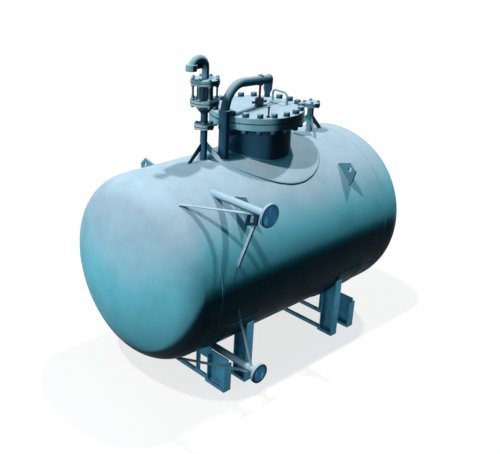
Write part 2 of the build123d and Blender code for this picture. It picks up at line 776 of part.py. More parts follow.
# Saddles: a wrapped pad, and two cross frames under it, each of a base and two legs
leg_low = base_thick - axis_height
window_low = leg_low + window_sill
window_high = leg_low + window_height
for name, saddle_x, sign in (("near", near_saddle_x, -1), ("far", far_saddle_x, 1)):
    with BuildPart() as saddle_pad:
        with BuildSketch(cross_plane.offset(saddle_x - saddle_length / 2)):
            with BuildLine():
                outer = CenterArc((0, 0), shell_radius + pad_thick, -90 - saddle_pad_angle, 2 * saddle_pad_angle)
                inner = CenterArc((0, 0), shell_radius, -90 - saddle_pad_angle, 2 * saddle_pad_angle)
                Line(outer @ 0, inner @ 0)
                Line(outer @ 1, inner @ 1)
            make_face()
        extrude(amount=saddle_length)
        with BuildSketch(long_plane):
            with Locations((gauge_x, -gauge_offset_z)):
                Circle(gauge_pipe_radius + weld_gap)
        extrude(amount=shell_radius, mode=Mode.SUBTRACT)
    saddle_pad.part.label = name + "_saddle_pad"
    export_step(saddle_pad.part, "parts/" + name + "_saddle_pad.step")

    outer_x = saddle_x + sign * outer_frame_offset
    inner_x = saddle_x - sign * inner_frame_offset
    for place, frame_x, leg_inside in (
        ("outer", outer_x, outer_leg_inside),
        ("inner", inner_x, inner_leg_inside),
    ):
        foot_length = base_reach - leg_inside + base_lip
        with BuildPart() as base:
            with BuildSketch(Plane.XY):
                with Locations((frame_x, axis_y)):
                    Rectangle(rail_width, 2 * base_reach)
                for side in (-1, 1):
                    with Locations((frame_x, axis_y + side * (base_reach - foot_length / 2))):
                        Rectangle(base_width, foot_length)
            extrude(amount=base_thick)
        base.part.label = name + "_" + place + "_base"
        export_step(base.part, "parts/" + name + "_" + place + "_base.step")

    # Outer frame: a short flanged leg below the gauge nozzle, its web run inward and up to the pad round a window
    with BuildPart() as outer_legs:
        for side in (-1, 1):
            with BuildSketch(cross_plane.offset(outer_x - frame_plate / 2)):
                Polygon(
                    (side * web_inside, leg_low),
                    (side * base_reach, leg_low),
                    (side * base_reach, outer_leg_top + web_top_rise),
                    (side * outer_leg_inside, outer_leg_top + web_top_rise),
                    (side * outer_leg_inside, 0),
                    (side * web_inside, 0),
                    align=None,
                )
                with Locations((side * (window_inside + window_outside) / 2, (window_low + window_high) / 2)):
                    RectangleRounded(
                        window_outside - window_inside,
                        window_high - window_low,
                        window_corner,
                        mode=Mode.SUBTRACT,
                    )
            extrude(amount=frame_plate)
            with BuildSketch(cross_plane.offset(outer_x - base_width / 2)):
                for edge in (outer_leg_inside, base_reach - frame_plate):
                    with Locations((side * (edge + frame_plate / 2), (leg_low + outer_leg_top) / 2)):
                        Rectangle(frame_plate, outer_leg_top - leg_low)
            extrude(amount=base_width)
            with BuildSketch(cross_plane.offset(outer_x - rib_width / 2)):
                with Locations((side * (web_inside + frame_plate / 2), leg_low / 2)):
                    Rectangle(frame_plate, -leg_low)
            extrude(amount=rib_width)
        with BuildSketch(cross_plane.offset(outer_x - base_width)):
            Circle(shell_radius + pad_thick)
        extrude(amount=2 * base_width, mode=Mode.SUBTRACT)
    outer_legs.part.label = name + "_outer_legs"
    export_step(outer_legs.part, "parts/" + name + "_outer_legs.step")

    # Inner frame: two full flanged legs
    with BuildPart() as inner_legs:
        for side in (-1, 1):
            with BuildSketch(cross_plane.offset(inner_x - frame_plate / 2)):
                with Locations((side * (inner_leg_inside + base_reach) / 2, leg_low / 2)):
                    Rectangle(inner_leg_depth, -leg_low)
            extrude(amount=frame_plate)
            with BuildSketch(cross_plane.offset(inner_x - base_width / 2)):
                for edge in (inner_leg_inside, base_reach - frame_plate):
                    with Locations((side * (edge + frame_plate / 2), leg_low / 2)):
                        Rectangle(frame_plate, -leg_low)
            extrude(amount=base_width)
        with BuildSketch(cross_plane.offset(inner_x - base_width)):
            Circle(shell_radius + pad_thick)
        extrude(amount=2 * base_width, mode=Mode.SUBTRACT)
    inner_legs.part.label = name + "_inner_legs"
    export_step(inner_legs.part, "parts/" + name + "_inner_legs.step")
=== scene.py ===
"""Studio scene of a horizontal pressure tank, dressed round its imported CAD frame.

All sizes are in metres. Places given on the vessel are measured from the middle of its long axis:
x along the vessel, y across it with the gauge nozzles on the -y side, z up.
"""

import json
import logging
import math
from dataclasses import dataclass, replace
from enum import Enum
from itertools import product
from typing import Iterable, Sequence

import bmesh
import bpy
from mathutils import Matrix, Vector

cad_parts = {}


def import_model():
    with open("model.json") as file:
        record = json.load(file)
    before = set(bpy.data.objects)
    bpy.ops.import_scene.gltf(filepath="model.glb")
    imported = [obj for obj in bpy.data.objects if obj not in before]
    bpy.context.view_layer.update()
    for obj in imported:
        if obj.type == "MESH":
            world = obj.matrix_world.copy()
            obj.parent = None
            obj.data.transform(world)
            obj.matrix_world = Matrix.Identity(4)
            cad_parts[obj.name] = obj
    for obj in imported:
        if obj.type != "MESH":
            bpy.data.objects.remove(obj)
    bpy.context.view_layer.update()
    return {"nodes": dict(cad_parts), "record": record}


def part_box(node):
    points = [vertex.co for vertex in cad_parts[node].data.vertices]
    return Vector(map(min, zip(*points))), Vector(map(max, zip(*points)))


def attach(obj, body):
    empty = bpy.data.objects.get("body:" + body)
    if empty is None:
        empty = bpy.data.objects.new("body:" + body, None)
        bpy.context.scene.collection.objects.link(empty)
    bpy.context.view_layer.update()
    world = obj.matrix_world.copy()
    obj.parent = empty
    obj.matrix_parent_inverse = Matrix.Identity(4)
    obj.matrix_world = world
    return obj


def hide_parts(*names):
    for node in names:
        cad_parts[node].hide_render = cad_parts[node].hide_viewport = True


LOG = logging.getLogger("pressure_tank")

Pair = tuple[float, float]
Triple = tuple[float, float, float]
Colour = Triple
Socket = bpy.types.NodeSocket
FULL_TURN = 2 * math.pi


class Body(Enum):
    """Bodies of the CAD frame that the scene's own pieces ride on."""

    VESSEL = "vessel"
    COVER = "manway_cover"


class Slot(Enum):
    """Material slots of the record."""

    TANK = "tank_paint"
    SADDLE = "saddle_paint"
    BLUE = "blue_cap"
    GASKET = "gasket"
    STEEL = "dark_steel"


# Places on the vessel


@dataclass(frozen=True)
class Stack:
    """What differs between the vent stack and the blinded nozzle, which both stand on top.

    Its low and high are the outer faces of the small flange joint, and its joints are the dark
    lines between flanges.
    """

    prefix: str
    x: float
    low: float
    high: float
    deep: Colour
    joints: tuple[float, ...]
    weld_levels: tuple[float, ...]
    brace_headings: tuple[int, ...]


@dataclass(frozen=True)
class Gauge:
    """What differs between the upper and the lower gauge nozzle.

    Its grips are where the two braces hold the pipe, and its side lip is a flange on one of them.
    """

    word: str
    sign: int
    cap_radius: float
    flange_radius: float
    pad_lift: float
    head_grip: float
    side_foot: Pair
    side_grip: Pair
    side_lip: float


# The pads under the manway and on the saddles, and the paint of the pipework, kept darker than the
# shell's as painted shade on the neck and pipe walls
PAD_THICK = 0.012
SHADED_PIPE_DEEP = (0.052, 0.175, 0.285)
STACKS = (
    Stack(
        "vent",
        x=-0.536,
        low=1.078,
        high=1.116,
        deep=SHADED_PIPE_DEEP,
        joints=(1.097, 1.297, 1.462),
        weld_levels=(1.078, 1.116),
        brace_headings=(180, 60, -60),
    ),
    Stack(
        "stub",
        x=0.813,
        low=1.040,
        high=1.078,
        deep=(0.300, 0.620, 0.720),
        joints=(1.059,),
        weld_levels=(1.040,),
        brace_headings=(0, 120, -120),
    ),
)
GAUGES = (
    Gauge(
        "upper",
        sign=1,
        cap_radius=0.084,
        flange_radius=0.0925,
        pad_lift=0.0,
        head_grip=-0.850,
        side_foot=(-0.864, 0.215),
        side_grip=(-0.858, 0.590),
        side_lip=0.014,
    ),
    Gauge(
        "lower",
        sign=-1,
        cap_radius=0.068,
        flange_radius=0.085,
        pad_lift=PAD_THICK,
        head_grip=-0.897,
        side_foot=(-0.846, 0.180),
        side_grip=(-0.905, 0.655),
        side_lip=0.0,
    ),
)


@dataclass(frozen=True)
class VesselFrame:
    """The middle of the vessel's long axis, and the places on it that several pieces share."""

    middle: Vector
    radius: float
    manway_x: float = 0.082
    flange_low: float = 1.051
    manway_joint: float = 1.105
    cover_top: float = 1.155
    gauge_x: float = -0.794
    gauge_level: float = 0.685

    @classmethod
    def from_cad(cls) -> "VesselFrame":
        """Reads the frame from the shell barrel's box.

        Returns:
            The vessel's frame.
        """
        low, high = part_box("shell_barrel")
        return cls((low + high) / 2, (high.z - low.z) / 2)

    def at(self, x: float, y: float, z: float) -> Vector:
        """A point measured from the middle of the vessel's axis."""
        return self.middle + Vector((x, y, z))

    def upright(self, x: float, y: float, z: float) -> Matrix:
        """A place on the vessel whose z points up."""
        return Matrix.Translation(self.at(x, y, z))

    def sideward(self, x: float, y: float, z: float) -> Matrix:
        """A place on the vessel whose z points to the side of the gauge nozzles."""
        return self.upright(x, y, z) @ Matrix.Rotation(math.radians(90), 4, "X")

    def about(self, x: float, reach: float, turn: float) -> Vector:
        """A point at a distance and a turn round the vessel's axis."""
        return self.at(x, reach * math.cos(turn), reach * math.sin(turn))


# Shader building


class NodeBench:
    """A bench on which the nodes of a material or of the surroundings are laid out."""

    def __init__(self, tree: bpy.types.NodeTree) -> None:
        """Starts with an empty tree.

        Args:
            tree: The tree that the nodes go into.
        """
        self.tree = tree
        self.tree.nodes.clear()

    def node(self, kind: str) -> bpy.types.Node:
        """Adds a node of a kind that Blender names."""
        return self.tree.nodes.new(kind)

    def link(self, source: Socket, target: Socket) -> None:
        """Joins two sockets."""
        self.tree.links.new(source, target)

    def feed(self, target: Socket, value: object) -> None:
        """Gives a socket a link or a constant.

        Args:
            target: The input socket.
            value: Another node's output socket, a number, a colour or a vector.
        """
        if isinstance(value, Socket):
            self.link(value, target)
        elif isinstance(value, (int, float)):
            target.default_value = value
        elif target.type == "RGBA":
            target.default_value = (*value, 1.0)
        else:
            target.default_value = value

    def calc(self, operation: str, first: object, second: object = 0.0) -> Socket:
        """Adds a math node.

        Args:
            operation: Blender's name of the operation.
            first: The first value or socket.
            second: The second value or socket.

        Returns:
            The node's output.
        """
        node = self.node("ShaderNodeMath")
        node.operation = operation
        self.feed(node.inputs[0], first)
        self.feed(node.inputs[1], second)
        return node.outputs[0]

    def times(self, first: object, *others: object) -> Socket:
        """Multiplies values, from the first to the last.

        Args:
            first: A value or socket.
            others: The values or sockets that it is multiplied by.

        Returns:
            The product.
        """
        for other in others:
            first = self.calc("MULTIPLY", first, other)
        return first

    def blend(self, share: object, first: object, second: object) -> Socket:
        """Mixes two colours.

        Args:
            share: How much of the second colour.
            first: A colour or socket.
            second: A colour or socket.

        Returns:
            The mixed colour.
        """
        node = self.node("ShaderNodeMix")
        node.data_type = "RGBA"
        self.feed(node.inputs[0], share)
        self.feed(node.inputs[6], first)
        self.feed(node.inputs[7], second)
        return node.outputs[2]

    def parts_of(self, vector: Socket) -> tuple[Socket, ...]:
        """Takes a vector apart.

        Args:
            vector: The vector.

        Returns:
            Its x, y and z.
        """
        node = self.node("ShaderNodeSeparateXYZ")
        self.link(vector, node.inputs[0])
        return tuple(node.outputs)

    def seen_directly(self) -> Socket:
        """Tells rays that show a thing from those that only light others by it.

        Returns:
            1 for rays of the camera, in reflections and through glass, and 0 for the rest.
        """
        path = self.node("ShaderNodeLightPath")
        seen = self.calc("MAXIMUM", path.outputs["Is Camera Ray"], path.outputs["Is Glossy Ray"])
        return self.calc("MAXIMUM", seen, path.outputs["Is Transmission Ray"])

    def mixed(self, share: Socket, first: Socket, second: Socket) -> Socket:
        """Mixes two shaders.

        Args:
            share: How much of the second shader.
            first: A shader.
            second: A shader.

        Returns:
            The mixed shader.
        """
        mixer = self.node("ShaderNodeMixShader")
        for target, source in zip(mixer.inputs, (share, first, second)):
            self.link(source, target)
        return mixer.outputs[0]


class ShaderBench(NodeBench):
    """A bench on which one material is laid out."""

    edge_samples: int = 4
    edge_start: float = 0.99
    edge_full: float = 0.80

    def __init__(self, name: str) -> None:
        """Starts an empty material with an output and a principled shader.

        Args:
            name: The material's name.
        """
        self.material = bpy.data.materials.new(name)
        self.material.use_nodes = True
        super().__init__(self.material.node_tree)
        self.output = self.node("ShaderNodeOutputMaterial")
        self.shader = self.node("ShaderNodeBsdfPrincipled")
        self.link(self.shader.outputs["BSDF"], self.output.inputs["Surface"])
        self.place = self.node("ShaderNodeTexCoord").outputs["Object"]

    def put(self, socket: str, value: object) -> None:
        """Gives one of the shader's own sockets a link or a constant."""
        self.feed(self.shader.inputs[socket], value)

    def stretched(self, scale: Sequence[float]) -> Socket:
        """Object coordinates scaled along each axis.

        Args:
            scale: The three factors.

        Returns:
            The stretched coordinates.
        """
        node = self.node("ShaderNodeMapping")
        self.link(self.place, node.inputs["Vector"])
        node.inputs["Scale"].default_value = scale
        return node.outputs["Vector"]

    def noise(
        self,
        scale: float,
        detail: float = 4.0,
        roughness: float = 0.55,
        where: Socket | None = None,
    ) -> Socket:
        """Adds a noise texture.

        Args:
            scale: Its frequency per metre.
            detail: Its number of octaves.
            roughness: How strong the finer octaves are.
            where: Its coordinates, or None for plain object coordinates.

        Returns:
            The noise value, from 0 to 1.
        """
        node = self.node("ShaderNodeTexNoise")
        self.link(where or self.place, node.inputs["Vector"])
        node.inputs["Scale"].default_value = scale
        node.inputs["Detail"].default_value = detail
        node.inputs["Roughness"].default_value = roughness
        return node.outputs["Fac"]

    def span(
        self,
        value: object,
        low: float,
        high: float,
        start: float = 0.0,
        end: float = 1.0,
    ) -> Socket:
        """Maps a value from one range to another, clamped and eased.

        Args:
            value: The value or socket.
            low: Where the range starts.
            high: Where the range ends.
            start: The result at low.
            end: The result at high.

        Returns:
            The mapped value.
        """
        node = self.node("ShaderNodeMapRange")
        node.interpolation_type = "SMOOTHSTEP"
        self.feed(node.inputs["Value"], value)
        node.inputs["From Min"].default_value = low
        node.inputs["From Max"].default_value = high
        node.inputs["To Min"].default_value = start
        node.inputs["To Max"].default_value = end
        return node.outputs["Result"]

    def from_axis(self, first: Socket, second: Socket, axis: Sequence[float]) -> Socket:
        """How far a point lies from an axis.

        Args:
            first: The point's first coordinate across the axis.
            second: Its second coordinate across the axis.
            axis: The same two coordinates of the axis.

        Returns:
            The distance.
        """
        squares = [
            self.calc("POWER", self.calc("SUBTRACT", value, middle), 2.0)
            for value, middle in zip((first, second), axis)
        ]
        return self.calc("SQRT", self.calc("ADD", *squares))

    def facing(self) -> Socket:
        """The surface normal in world space."""
        return self.node("ShaderNodeNewGeometry").outputs["Normal"]

    def relief(
        self,
        height: Socket,
        depth: float,
        under: Socket | None = None,
    ) -> Socket:
        """Adds a bump node.

        Args:
            height: The height pattern, from 0 to 1.
            depth: The height in metres that 1 stands for.
            under: The normal of the relief beneath, if any.

        Returns:
            The new normal.
        """
        node = self.node("ShaderNodeBump")
        node.inputs["Strength"].default_value = 1.0
        node.inputs["Distance"].default_value = depth
        self.link(height, node.inputs["Height"])
        if under is not None:
            self.link(under, node.inputs["Normal"])
        return node.outputs["Normal"]

    def eased_edges(self, radius: float) -> tuple[Socket, Socket]:
        """Softens sharp edges in the shading.

        Args:
            radius: How far from an edge the softening reaches.

        Returns:
            The softened normal, and how near an edge the point is, from 0 to 1.
        """
        soft = self.node("ShaderNodeBevel")
        soft.samples = self.edge_samples
        soft.inputs["Radius"].default_value = radius
        match = self.node("ShaderNodeVectorMath")
        match.operation = "DOT_PRODUCT"
        self.link(soft.outputs["Normal"], match.inputs[0])
        self.link(self.facing(), match.inputs[1])
        near = self.span(match.outputs["Value"], self.edge_start, self.edge_full)
        return soft.outputs["Normal"], near


@dataclass(frozen=True)
class Cloud:
    """A noise pattern, and the band of its values in which a layer of a finish comes in."""

    scale: float
    detail: float
    roughness: float
    low: float
    high: float

    def on(
        self,
        bench: ShaderBench,
        start: float = 0.0,
        end: float = 1.0,
        where: Socket | None = None,
    ) -> Socket:
        """How strongly the layer comes in at a point.

        Args:
            bench: The bench that the finish is laid out on.
            start: The result below the band.
            end: The result above the band.
            where: The pattern's coordinates, or None for plain object coordinates.

        Returns:
            The strength.
        """
        value = bench.noise(self.scale, self.detail, self.roughness, where)
        return bench.span(value, self.low, self.high, start, end)


@dataclass(frozen=True)
class Enamel:
    """Satin enamel on steel, paler on top and on the -x end from weather bleaching and a painted
    highlight, with painted shade on faces that look down.
    """

    name: str
    deep: Colour = (0.165, 0.630, 0.785)
    # Paler colour on top and on the -x end: partly weather bleaching, partly a painted highlight
    bleach_and_highlight: Colour = (0.392, 0.565, 0.690)
    dust: Colour = (0.470, 0.560, 0.600)
    grime: Colour = (0.030, 0.090, 0.115)
    bare: Colour = (0.060, 0.075, 0.085)
    roughness: float = 0.42
    duller: float = 0.08
    glossier: float = 0.05
    shine: float = 0.008
    flake: float = 0.0
    bleach_and_highlight_low: float = 0.27
    bleach_and_highlight_high: float = 0.74
    top_weight: float = 0.90
    bleach_and_highlight_end: float = 0.36
    patchiness: float = 0.05
    mottle_share: float = 0.15
    dust_share: float = 0.25
    dust_dulls: float = 0.35
    level_faces: Pair = (0.45, 0.98)
    streak_share: float = 0.05
    streak_stretch: Triple = (42.0, 42.0, 1.6)
    steep_faces: Pair = (0.85, 0.35)
    splash_share: float = 0.45
    splash_heights: Pair = (0.55, 0.02)
    wear_share: float = 0.30
    wear_dulls: float = 0.25
    edge_radius: float = 0.002
    wave: Triple = (2.6, 2.0, 0.4)
    wave_depth: float = 0.0010
    peel: Triple = (420.0, 2.0, 0.5)
    peel_depth: float = 0.00012
    rim: Colour = (0.480, 0.700, 0.760)
    rim_axis: Pair | None = None
    rim_reach: float = 0.075
    rim_band: float = 0.003
    joints: tuple[float, ...] = ()
    joint_half: float = 0.006
    joint_core: float = 0.4
    joint_grime: Colour = (0.010, 0.032, 0.048)
    # Painted shade on faces that look down, and where it starts
    painted_shade: Colour = (0.018, 0.027, 0.044)
    painted_shade_share: float = 0.93
    painted_shade_start: float = 0.19
    end_start: float = 0.30
    end_weight: float = 0.90
    patches: Cloud = Cloud(2.2, 6.0, 0.55, 0.30, 0.70)
    mottle: Cloud = Cloud(4.0, 7.0, 0.60, 0.40, 0.72)
    streaks: Cloud = Cloud(1.0, 6.0, 0.60, 0.50, 0.74)
    drifts: Cloud = Cloud(5.5, 8.0, 0.62, 0.38, 0.66)
    splashes: Cloud = Cloud(14.0, 7.0, 0.70, 0.40, 0.66)
    chips: Cloud = Cloud(60.0, 6.0, 0.70, 0.42, 0.62)
    haze: Cloud = Cloud(9.0, 5.0, 0.55, 0.30, 0.70)

    def bleach_and_highlight_share(self, bench: ShaderBench) -> Socket:
        """How pale a point is, partly weather bleaching and partly a painted highlight: most on
        top, some on the end that faces -x.

        Args:
            bench: The bench that the enamel is laid out on.

        Returns:
            The share, from 0 to 1.
        """
        along, _, up = bench.parts_of(bench.facing())
        top, end = bench.times(up, self.top_weight), bench.times(along, self.bleach_and_highlight_end)
        patchy = self.patches.on(bench, -self.patchiness, self.patchiness)
        reach = bench.calc("ADD", bench.calc("SUBTRACT", top, end), patchy)
        return bench.span(reach, self.bleach_and_highlight_low, self.bleach_and_highlight_high)

    def ground(self, bench: ShaderBench) -> object:
        """The colour under the bleaching, paler on the edges of flanges that stand round an axis.

        Args:
            bench: The bench that the enamel is laid out on.

        Returns:
            A colour or a socket.
        """
        if self.rim_axis is None:
            return self.deep
        x, y, _ = bench.parts_of(bench.place)
        reach = bench.from_axis(x, y, self.rim_axis)
        on_rim = bench.span(reach, self.rim_reach - self.rim_band, self.rim_reach)
        return bench.blend(on_rim, self.deep, self.rim)

    def painted_shade_mask(self, bench: ShaderBench) -> Socket:
        """How much painted shade a point gets: most on faces that look down, less on the ends.

        Args:
            bench: The bench that the enamel is laid out on.

        Returns:
            The share, from 0 to painted_shade_share.
        """
        along, _, up = bench.parts_of(bench.facing())
        endward = bench.calc("SUBTRACT", bench.calc("ABSOLUTE", along), self.end_start)
        endward = bench.times(bench.calc("MAXIMUM", endward, 0.0), self.end_weight)
        return bench.span(bench.calc("ADD", up, endward), self.painted_shade_start, 0.0, 0.0, self.painted_shade_share)

    def build(self) -> bpy.types.Material:
        """Lays out the enamel, from its paint, painted highlight and painted shade to the dirt and
        wear on it.

        Returns:
            The material.
        """
        bench = ShaderBench(self.name)
        up = bench.parts_of(bench.facing())[2]
        height = bench.parts_of(bench.place)[2]
        # Paler on top and on the -x end: partly weather bleaching, partly a painted highlight
        paint = bench.blend(self.bleach_and_highlight_share(bench), self.ground(bench), self.bleach_and_highlight)
        # Painted shade: darkens faces that look down, in place of the shade under the vessel
        paint = bench.blend(self.painted_shade_mask(bench), paint, self.painted_shade)
        paint = bench.blend(self.mottle.on(bench, end=self.mottle_share), paint, self.grime)
        steep = bench.span(bench.calc("ABSOLUTE", up), *self.steep_faces)
        runs = self.streaks.on(bench, where=bench.stretched(self.streak_stretch))
        paint = bench.blend(bench.times(runs, steep, self.streak_share), paint, self.grime)
        level = bench.span(up, *self.level_faces)
        settled = bench.times(level, self.drifts.on(bench), self.dust_share)
        paint = bench.blend(settled, paint, self.dust)
        low = bench.span(height, *self.splash_heights)
        splashed = bench.times(low, self.splashes.on(bench, end=self.splash_share))
        paint = bench.blend(splashed, paint, self.grime)
        soft, edge = bench.eased_edges(self.edge_radius)
        worn = bench.times(edge, self.chips.on(bench), self.wear_share)
        paint = bench.blend(worn, paint, self.bare)
        for joint in self.joints:
            away = bench.calc("ABSOLUTE", bench.calc("SUBTRACT", height, joint))
            dark = bench.span(away, self.joint_half, self.joint_half * self.joint_core)
            paint = bench.blend(dark, paint, self.joint_grime)
        bench.put("Base Color", paint)
        dull = self.haze.on(bench, self.roughness - self.glossier, self.roughness + self.duller)
        dull = bench.calc("ADD", dull, bench.times(settled, self.dust_dulls))
        dull = bench.calc("ADD", dull, bench.times(worn, self.wear_dulls))
        bench.put("Roughness", dull)
        bench.put("Specular IOR Level", self.shine)
        bench.put("Metallic", self.flake)
        normal = bench.relief(bench.noise(*self.wave), self.wave_depth, soft)
        bench.put("Normal", bench.relief(bench.noise(*self.peel), self.peel_depth, normal))
        return bench.material


@dataclass(frozen=True)
class BlueLacquer:
    """Deep blue lacquer on the gauge caps, with pale streaks painted in as reflections."""

    name: str
    axis_x: float
    axis_z: float
    radius: float
    shade: Colour = (0.010, 0.070, 0.150)
    colour: Colour = (0.012, 0.150, 0.330)
    streak: Colour = (0.110, 0.540, 0.780)
    roughness: float = 0.35
    duller: float = 0.16
    flake: float = 0.45
    shine: float = 0.04
    edge_radius: float = 0.0015
    painted_reflection_share: float = 0.75
    painted_reflection_stretch: Triple = (34.0, 34.0, 9.0)
    shade_share: float = 0.65
    shade_band: float = 0.022
    ring_rate: float = 900.0
    ring_share: float = 0.04
    ring_depth: float = 0.00006
    reflection_streaks: Cloud = Cloud(1.0, 5.0, 0.55, 0.52, 0.68)
    haze: Cloud = Cloud(40.0, 4.0, 0.55, 0.30, 0.70)

    def build(self) -> bpy.types.Material:
        """Lays out the lacquer, with painted reflection streaks running downward, darker toward its
        rim.

        Returns:
            The material.
        """
        bench = ShaderBench(self.name)
        x, _, z = bench.parts_of(bench.place)
        reach = bench.from_axis(x, z, (self.axis_x, self.axis_z))
        # Pale vertical streaks: painted reflections on the glossy cap
        reflected = self.reflection_streaks.on(bench, end=self.painted_reflection_share, where=bench.stretched(self.painted_reflection_stretch))
        paint = bench.blend(reflected, self.colour, self.streak)
        inner = self.radius - self.shade_band
        outward = bench.span(reach, inner, self.radius, 0.0, self.shade_share)
        paint = bench.blend(outward, paint, self.shade)
        rings = bench.calc("SINE", bench.times(reach, self.ring_rate))
        paint = bench.blend(bench.span(rings, -1.0, 1.0, 0.0, self.ring_share), paint, self.streak)
        bench.put("Base Color", paint)
        bench.put("Roughness", self.haze.on(bench, self.roughness, self.roughness + self.duller))
        bench.put("Metallic", self.flake)
        bench.put("Specular IOR Level", self.shine)
        soft, _ = bench.eased_edges(self.edge_radius)
        bench.put("Normal", bench.relief(rings, self.ring_depth, soft))
        return bench.material


@dataclass(frozen=True)
class FibreSheet:
    """Pressed fibre gasket sheet."""

    name: str
    colour: Colour = (0.030, 0.036, 0.042)
    fleck: Colour = (0.095, 0.100, 0.105)
    weave: Triple = (1.0, 5.0, 0.7)
    weave_stretch: Triple = (900.0, 900.0, 2600.0)
    weave_depth: float = 0.0004
    fleck_band: Pair = (0.45, 0.70)
    dull_band: tuple[float, float, float, float] = (0.3, 0.7, 0.72, 0.9)

    def build(self) -> bpy.types.Material:
        """Lays out the gasket sheet.

        Returns:
            The material.
        """
        bench = ShaderBench(self.name)
        fibres = bench.noise(*self.weave, bench.stretched(self.weave_stretch))
        flecked = bench.span(fibres, *self.fleck_band)
        bench.put("Base Color", bench.blend(flecked, self.colour, self.fleck))
        bench.put("Roughness", bench.span(fibres, *self.dull_band))
        bench.put("Normal", bench.relief(fibres, self.weave_depth))
        return bench.material


@dataclass(frozen=True)
class OiledSteel:
    """Bare steel, darkened by oil and light rust."""

    name: str
    colour: Colour = (0.018, 0.026, 0.040)
    bright: Colour = (0.120, 0.150, 0.175)
    rust: Colour = (0.040, 0.030, 0.030)
    roughness: float = 0.45
    rust_dulls: float = 0.4
    flake: float = 0.35
    shine: float = 0.3
    edge_radius: float = 0.0012
    grain: Pair = (300.0, 4.0)
    grain_depth: float = 0.0002
    rub_shares: Pair = (0.1, 0.6)
    tarnish_share: float = 0.25
    rust_share: float = 0.6
    rubbing: Cloud = Cloud(80.0, 4.0, 0.55, 0.35, 0.60)
    tarnish: Cloud = Cloud(35.0, 6.0, 0.55, 0.40, 0.70)
    rusting: Cloud = Cloud(48.0, 8.0, 0.70, 0.54, 0.68)

    def build(self) -> bpy.types.Material:
        """Lays out the steel.

        Returns:
            The material.
        """
        bench = ShaderBench(self.name)
        soft, edge = bench.eased_edges(self.edge_radius)
        rubbed = bench.times(edge, self.rubbing.on(bench, *self.rub_shares))
        bright = self.tarnish.on(bench, end=self.tarnish_share)
        tone = bench.blend(bright, self.colour, self.bright)
        tone = bench.blend(rubbed, tone, self.bright)
        rusty = self.rusting.on(bench, end=self.rust_share)
        bench.put("Base Color", bench.blend(rusty, tone, self.rust))
        bench.put("Metallic", self.flake)
        bench.put("Specular IOR Level", self.shine)
        dull = bench.calc("ADD", bench.times(rusty, self.rust_dulls), self.roughness)
        bench.put("Roughness", dull)
        bench.put("Normal", bench.relief(bench.noise(*self.grain), self.grain_depth, soft))
        return bench.material


class PaintShop:
    """All finishes of the tank, made once and handed out by slot."""

    def __init__(self, vessel: VesselFrame) -> None:
        """Mixes the finishes.

        Args:
            vessel: The vessel's own frame, which places the joints, the rims and the caps.
        """
        axis_height = vessel.middle.z
        self.shell = Enamel("tank_enamel").build()
        # The fittings' paint is darker than the shell's: painted shade for the shade on the neck
        # and pipe walls
        shaded_pipes = Enamel(
            "shaded_fitting_enamel",
            deep=SHADED_PIPE_DEEP,
            bleach_and_highlight=(0.340, 0.490, 0.570),
            bleach_and_highlight_low=0.30,
            bleach_and_highlight_high=0.90,
            wave_depth=0.0003,
            wear_share=0.45,
            streak_share=0.25,
        )
        self.shaded_fittings = shaded_pipes.build()
        self.stacks = {
            stack.prefix: replace(
                shaded_pipes,
                name=f"{stack.prefix}_enamel",
                deep=stack.deep,
                rim_axis=tuple(vessel.at(stack.x, 0.0, 0.0).xy),
                joints=tuple(axis_height + level for level in stack.joints),
                joint_half=0.0045,
            ).build()
            for stack in STACKS
        }
        # Gauge pipe paint: a darker ground as painted shade under the pipes, pale on top
        self.nozzles = Enamel(
            "shaded_nozzle_enamel",
            deep=(0.070, 0.250, 0.310),
            bleach_and_highlight_low=0.0,
            bleach_and_highlight_high=0.55,
            painted_shade_share=0.0,
        ).build()
        # Brace paint pale on nearly every face: a painted highlight for the light on the braces
        self.braces = Enamel(
            "lit_brace_enamel",
            deep=(0.100, 0.360, 0.440),
            bleach_and_highlight_low=-0.50,
            bleach_and_highlight_high=0.35,
            painted_shade_share=0.0,
        ).build()
        self.lugs = Enamel(
            "lug_enamel",
            deep=(0.110, 0.330, 0.400),
            wear_share=0.45,
            painted_shade_share=0.0,
        ).build()
        self.welds = Enamel("weld_enamel", deep=(0.190, 0.440, 0.520), wear_share=0.10).build()
        # A near-black copy of the fitting paint: painted shade, worn by the strap under the upper
        # gauge pipe and the web in the vent's bend
        self.dark = replace(
            shaded_pipes,
            name="painted_shade_enamel",
            deep=(0.012, 0.040, 0.070),
            bleach_and_highlight=(0.110, 0.190, 0.230),
        ).build()
        # A paler copy of the fitting paint: painted highlight on the manway flange and cover, the
        # vent's bend, the blind and their studs
        self.rims = replace(
            shaded_pipes,
            name="lit_rim_enamel",
            deep=(0.290, 0.600, 0.670),
            bleach_and_highlight=Enamel.bleach_and_highlight,
            joints=(axis_height + vessel.manway_joint,),
        ).build()
        self.saddle = replace(
            shaded_pipes,
            name="saddle_enamel",
            deep=(0.070, 0.340, 0.520),
            bleach_and_highlight=(0.280, 0.480, 0.580),
            roughness=0.50,
            flake=0.48,
            painted_shade_share=0.0,
            wear_share=0.55,
            streak_share=0.45,
        ).build()
        self.caps = {
            gauge.word: BlueLacquer(
                f"cap_lacquer_{gauge.word}",
                vessel.at(vessel.gauge_x, 0.0, 0.0).x,
                axis_height + gauge.sign * vessel.gauge_level,
                gauge.cap_radius,
            ).build()
            for gauge in GAUGES
        }
        self.gasket = FibreSheet("gasket_sheet").build()
        self.steel = OiledSteel("oiled_steel").build()

    def of_slot(self, slot: Slot) -> bpy.types.Material:
        """The finish of a record slot.

        Args:
            slot: The slot.

        Returns:
            Its material.
        """
        return {
            Slot.TANK: self.shell,
            Slot.SADDLE: self.saddle,
            Slot.BLUE: self.caps["upper"],
            Slot.GASKET: self.gasket,
            Slot.STEEL: self.steel,
        }[slot]


# Mesh building

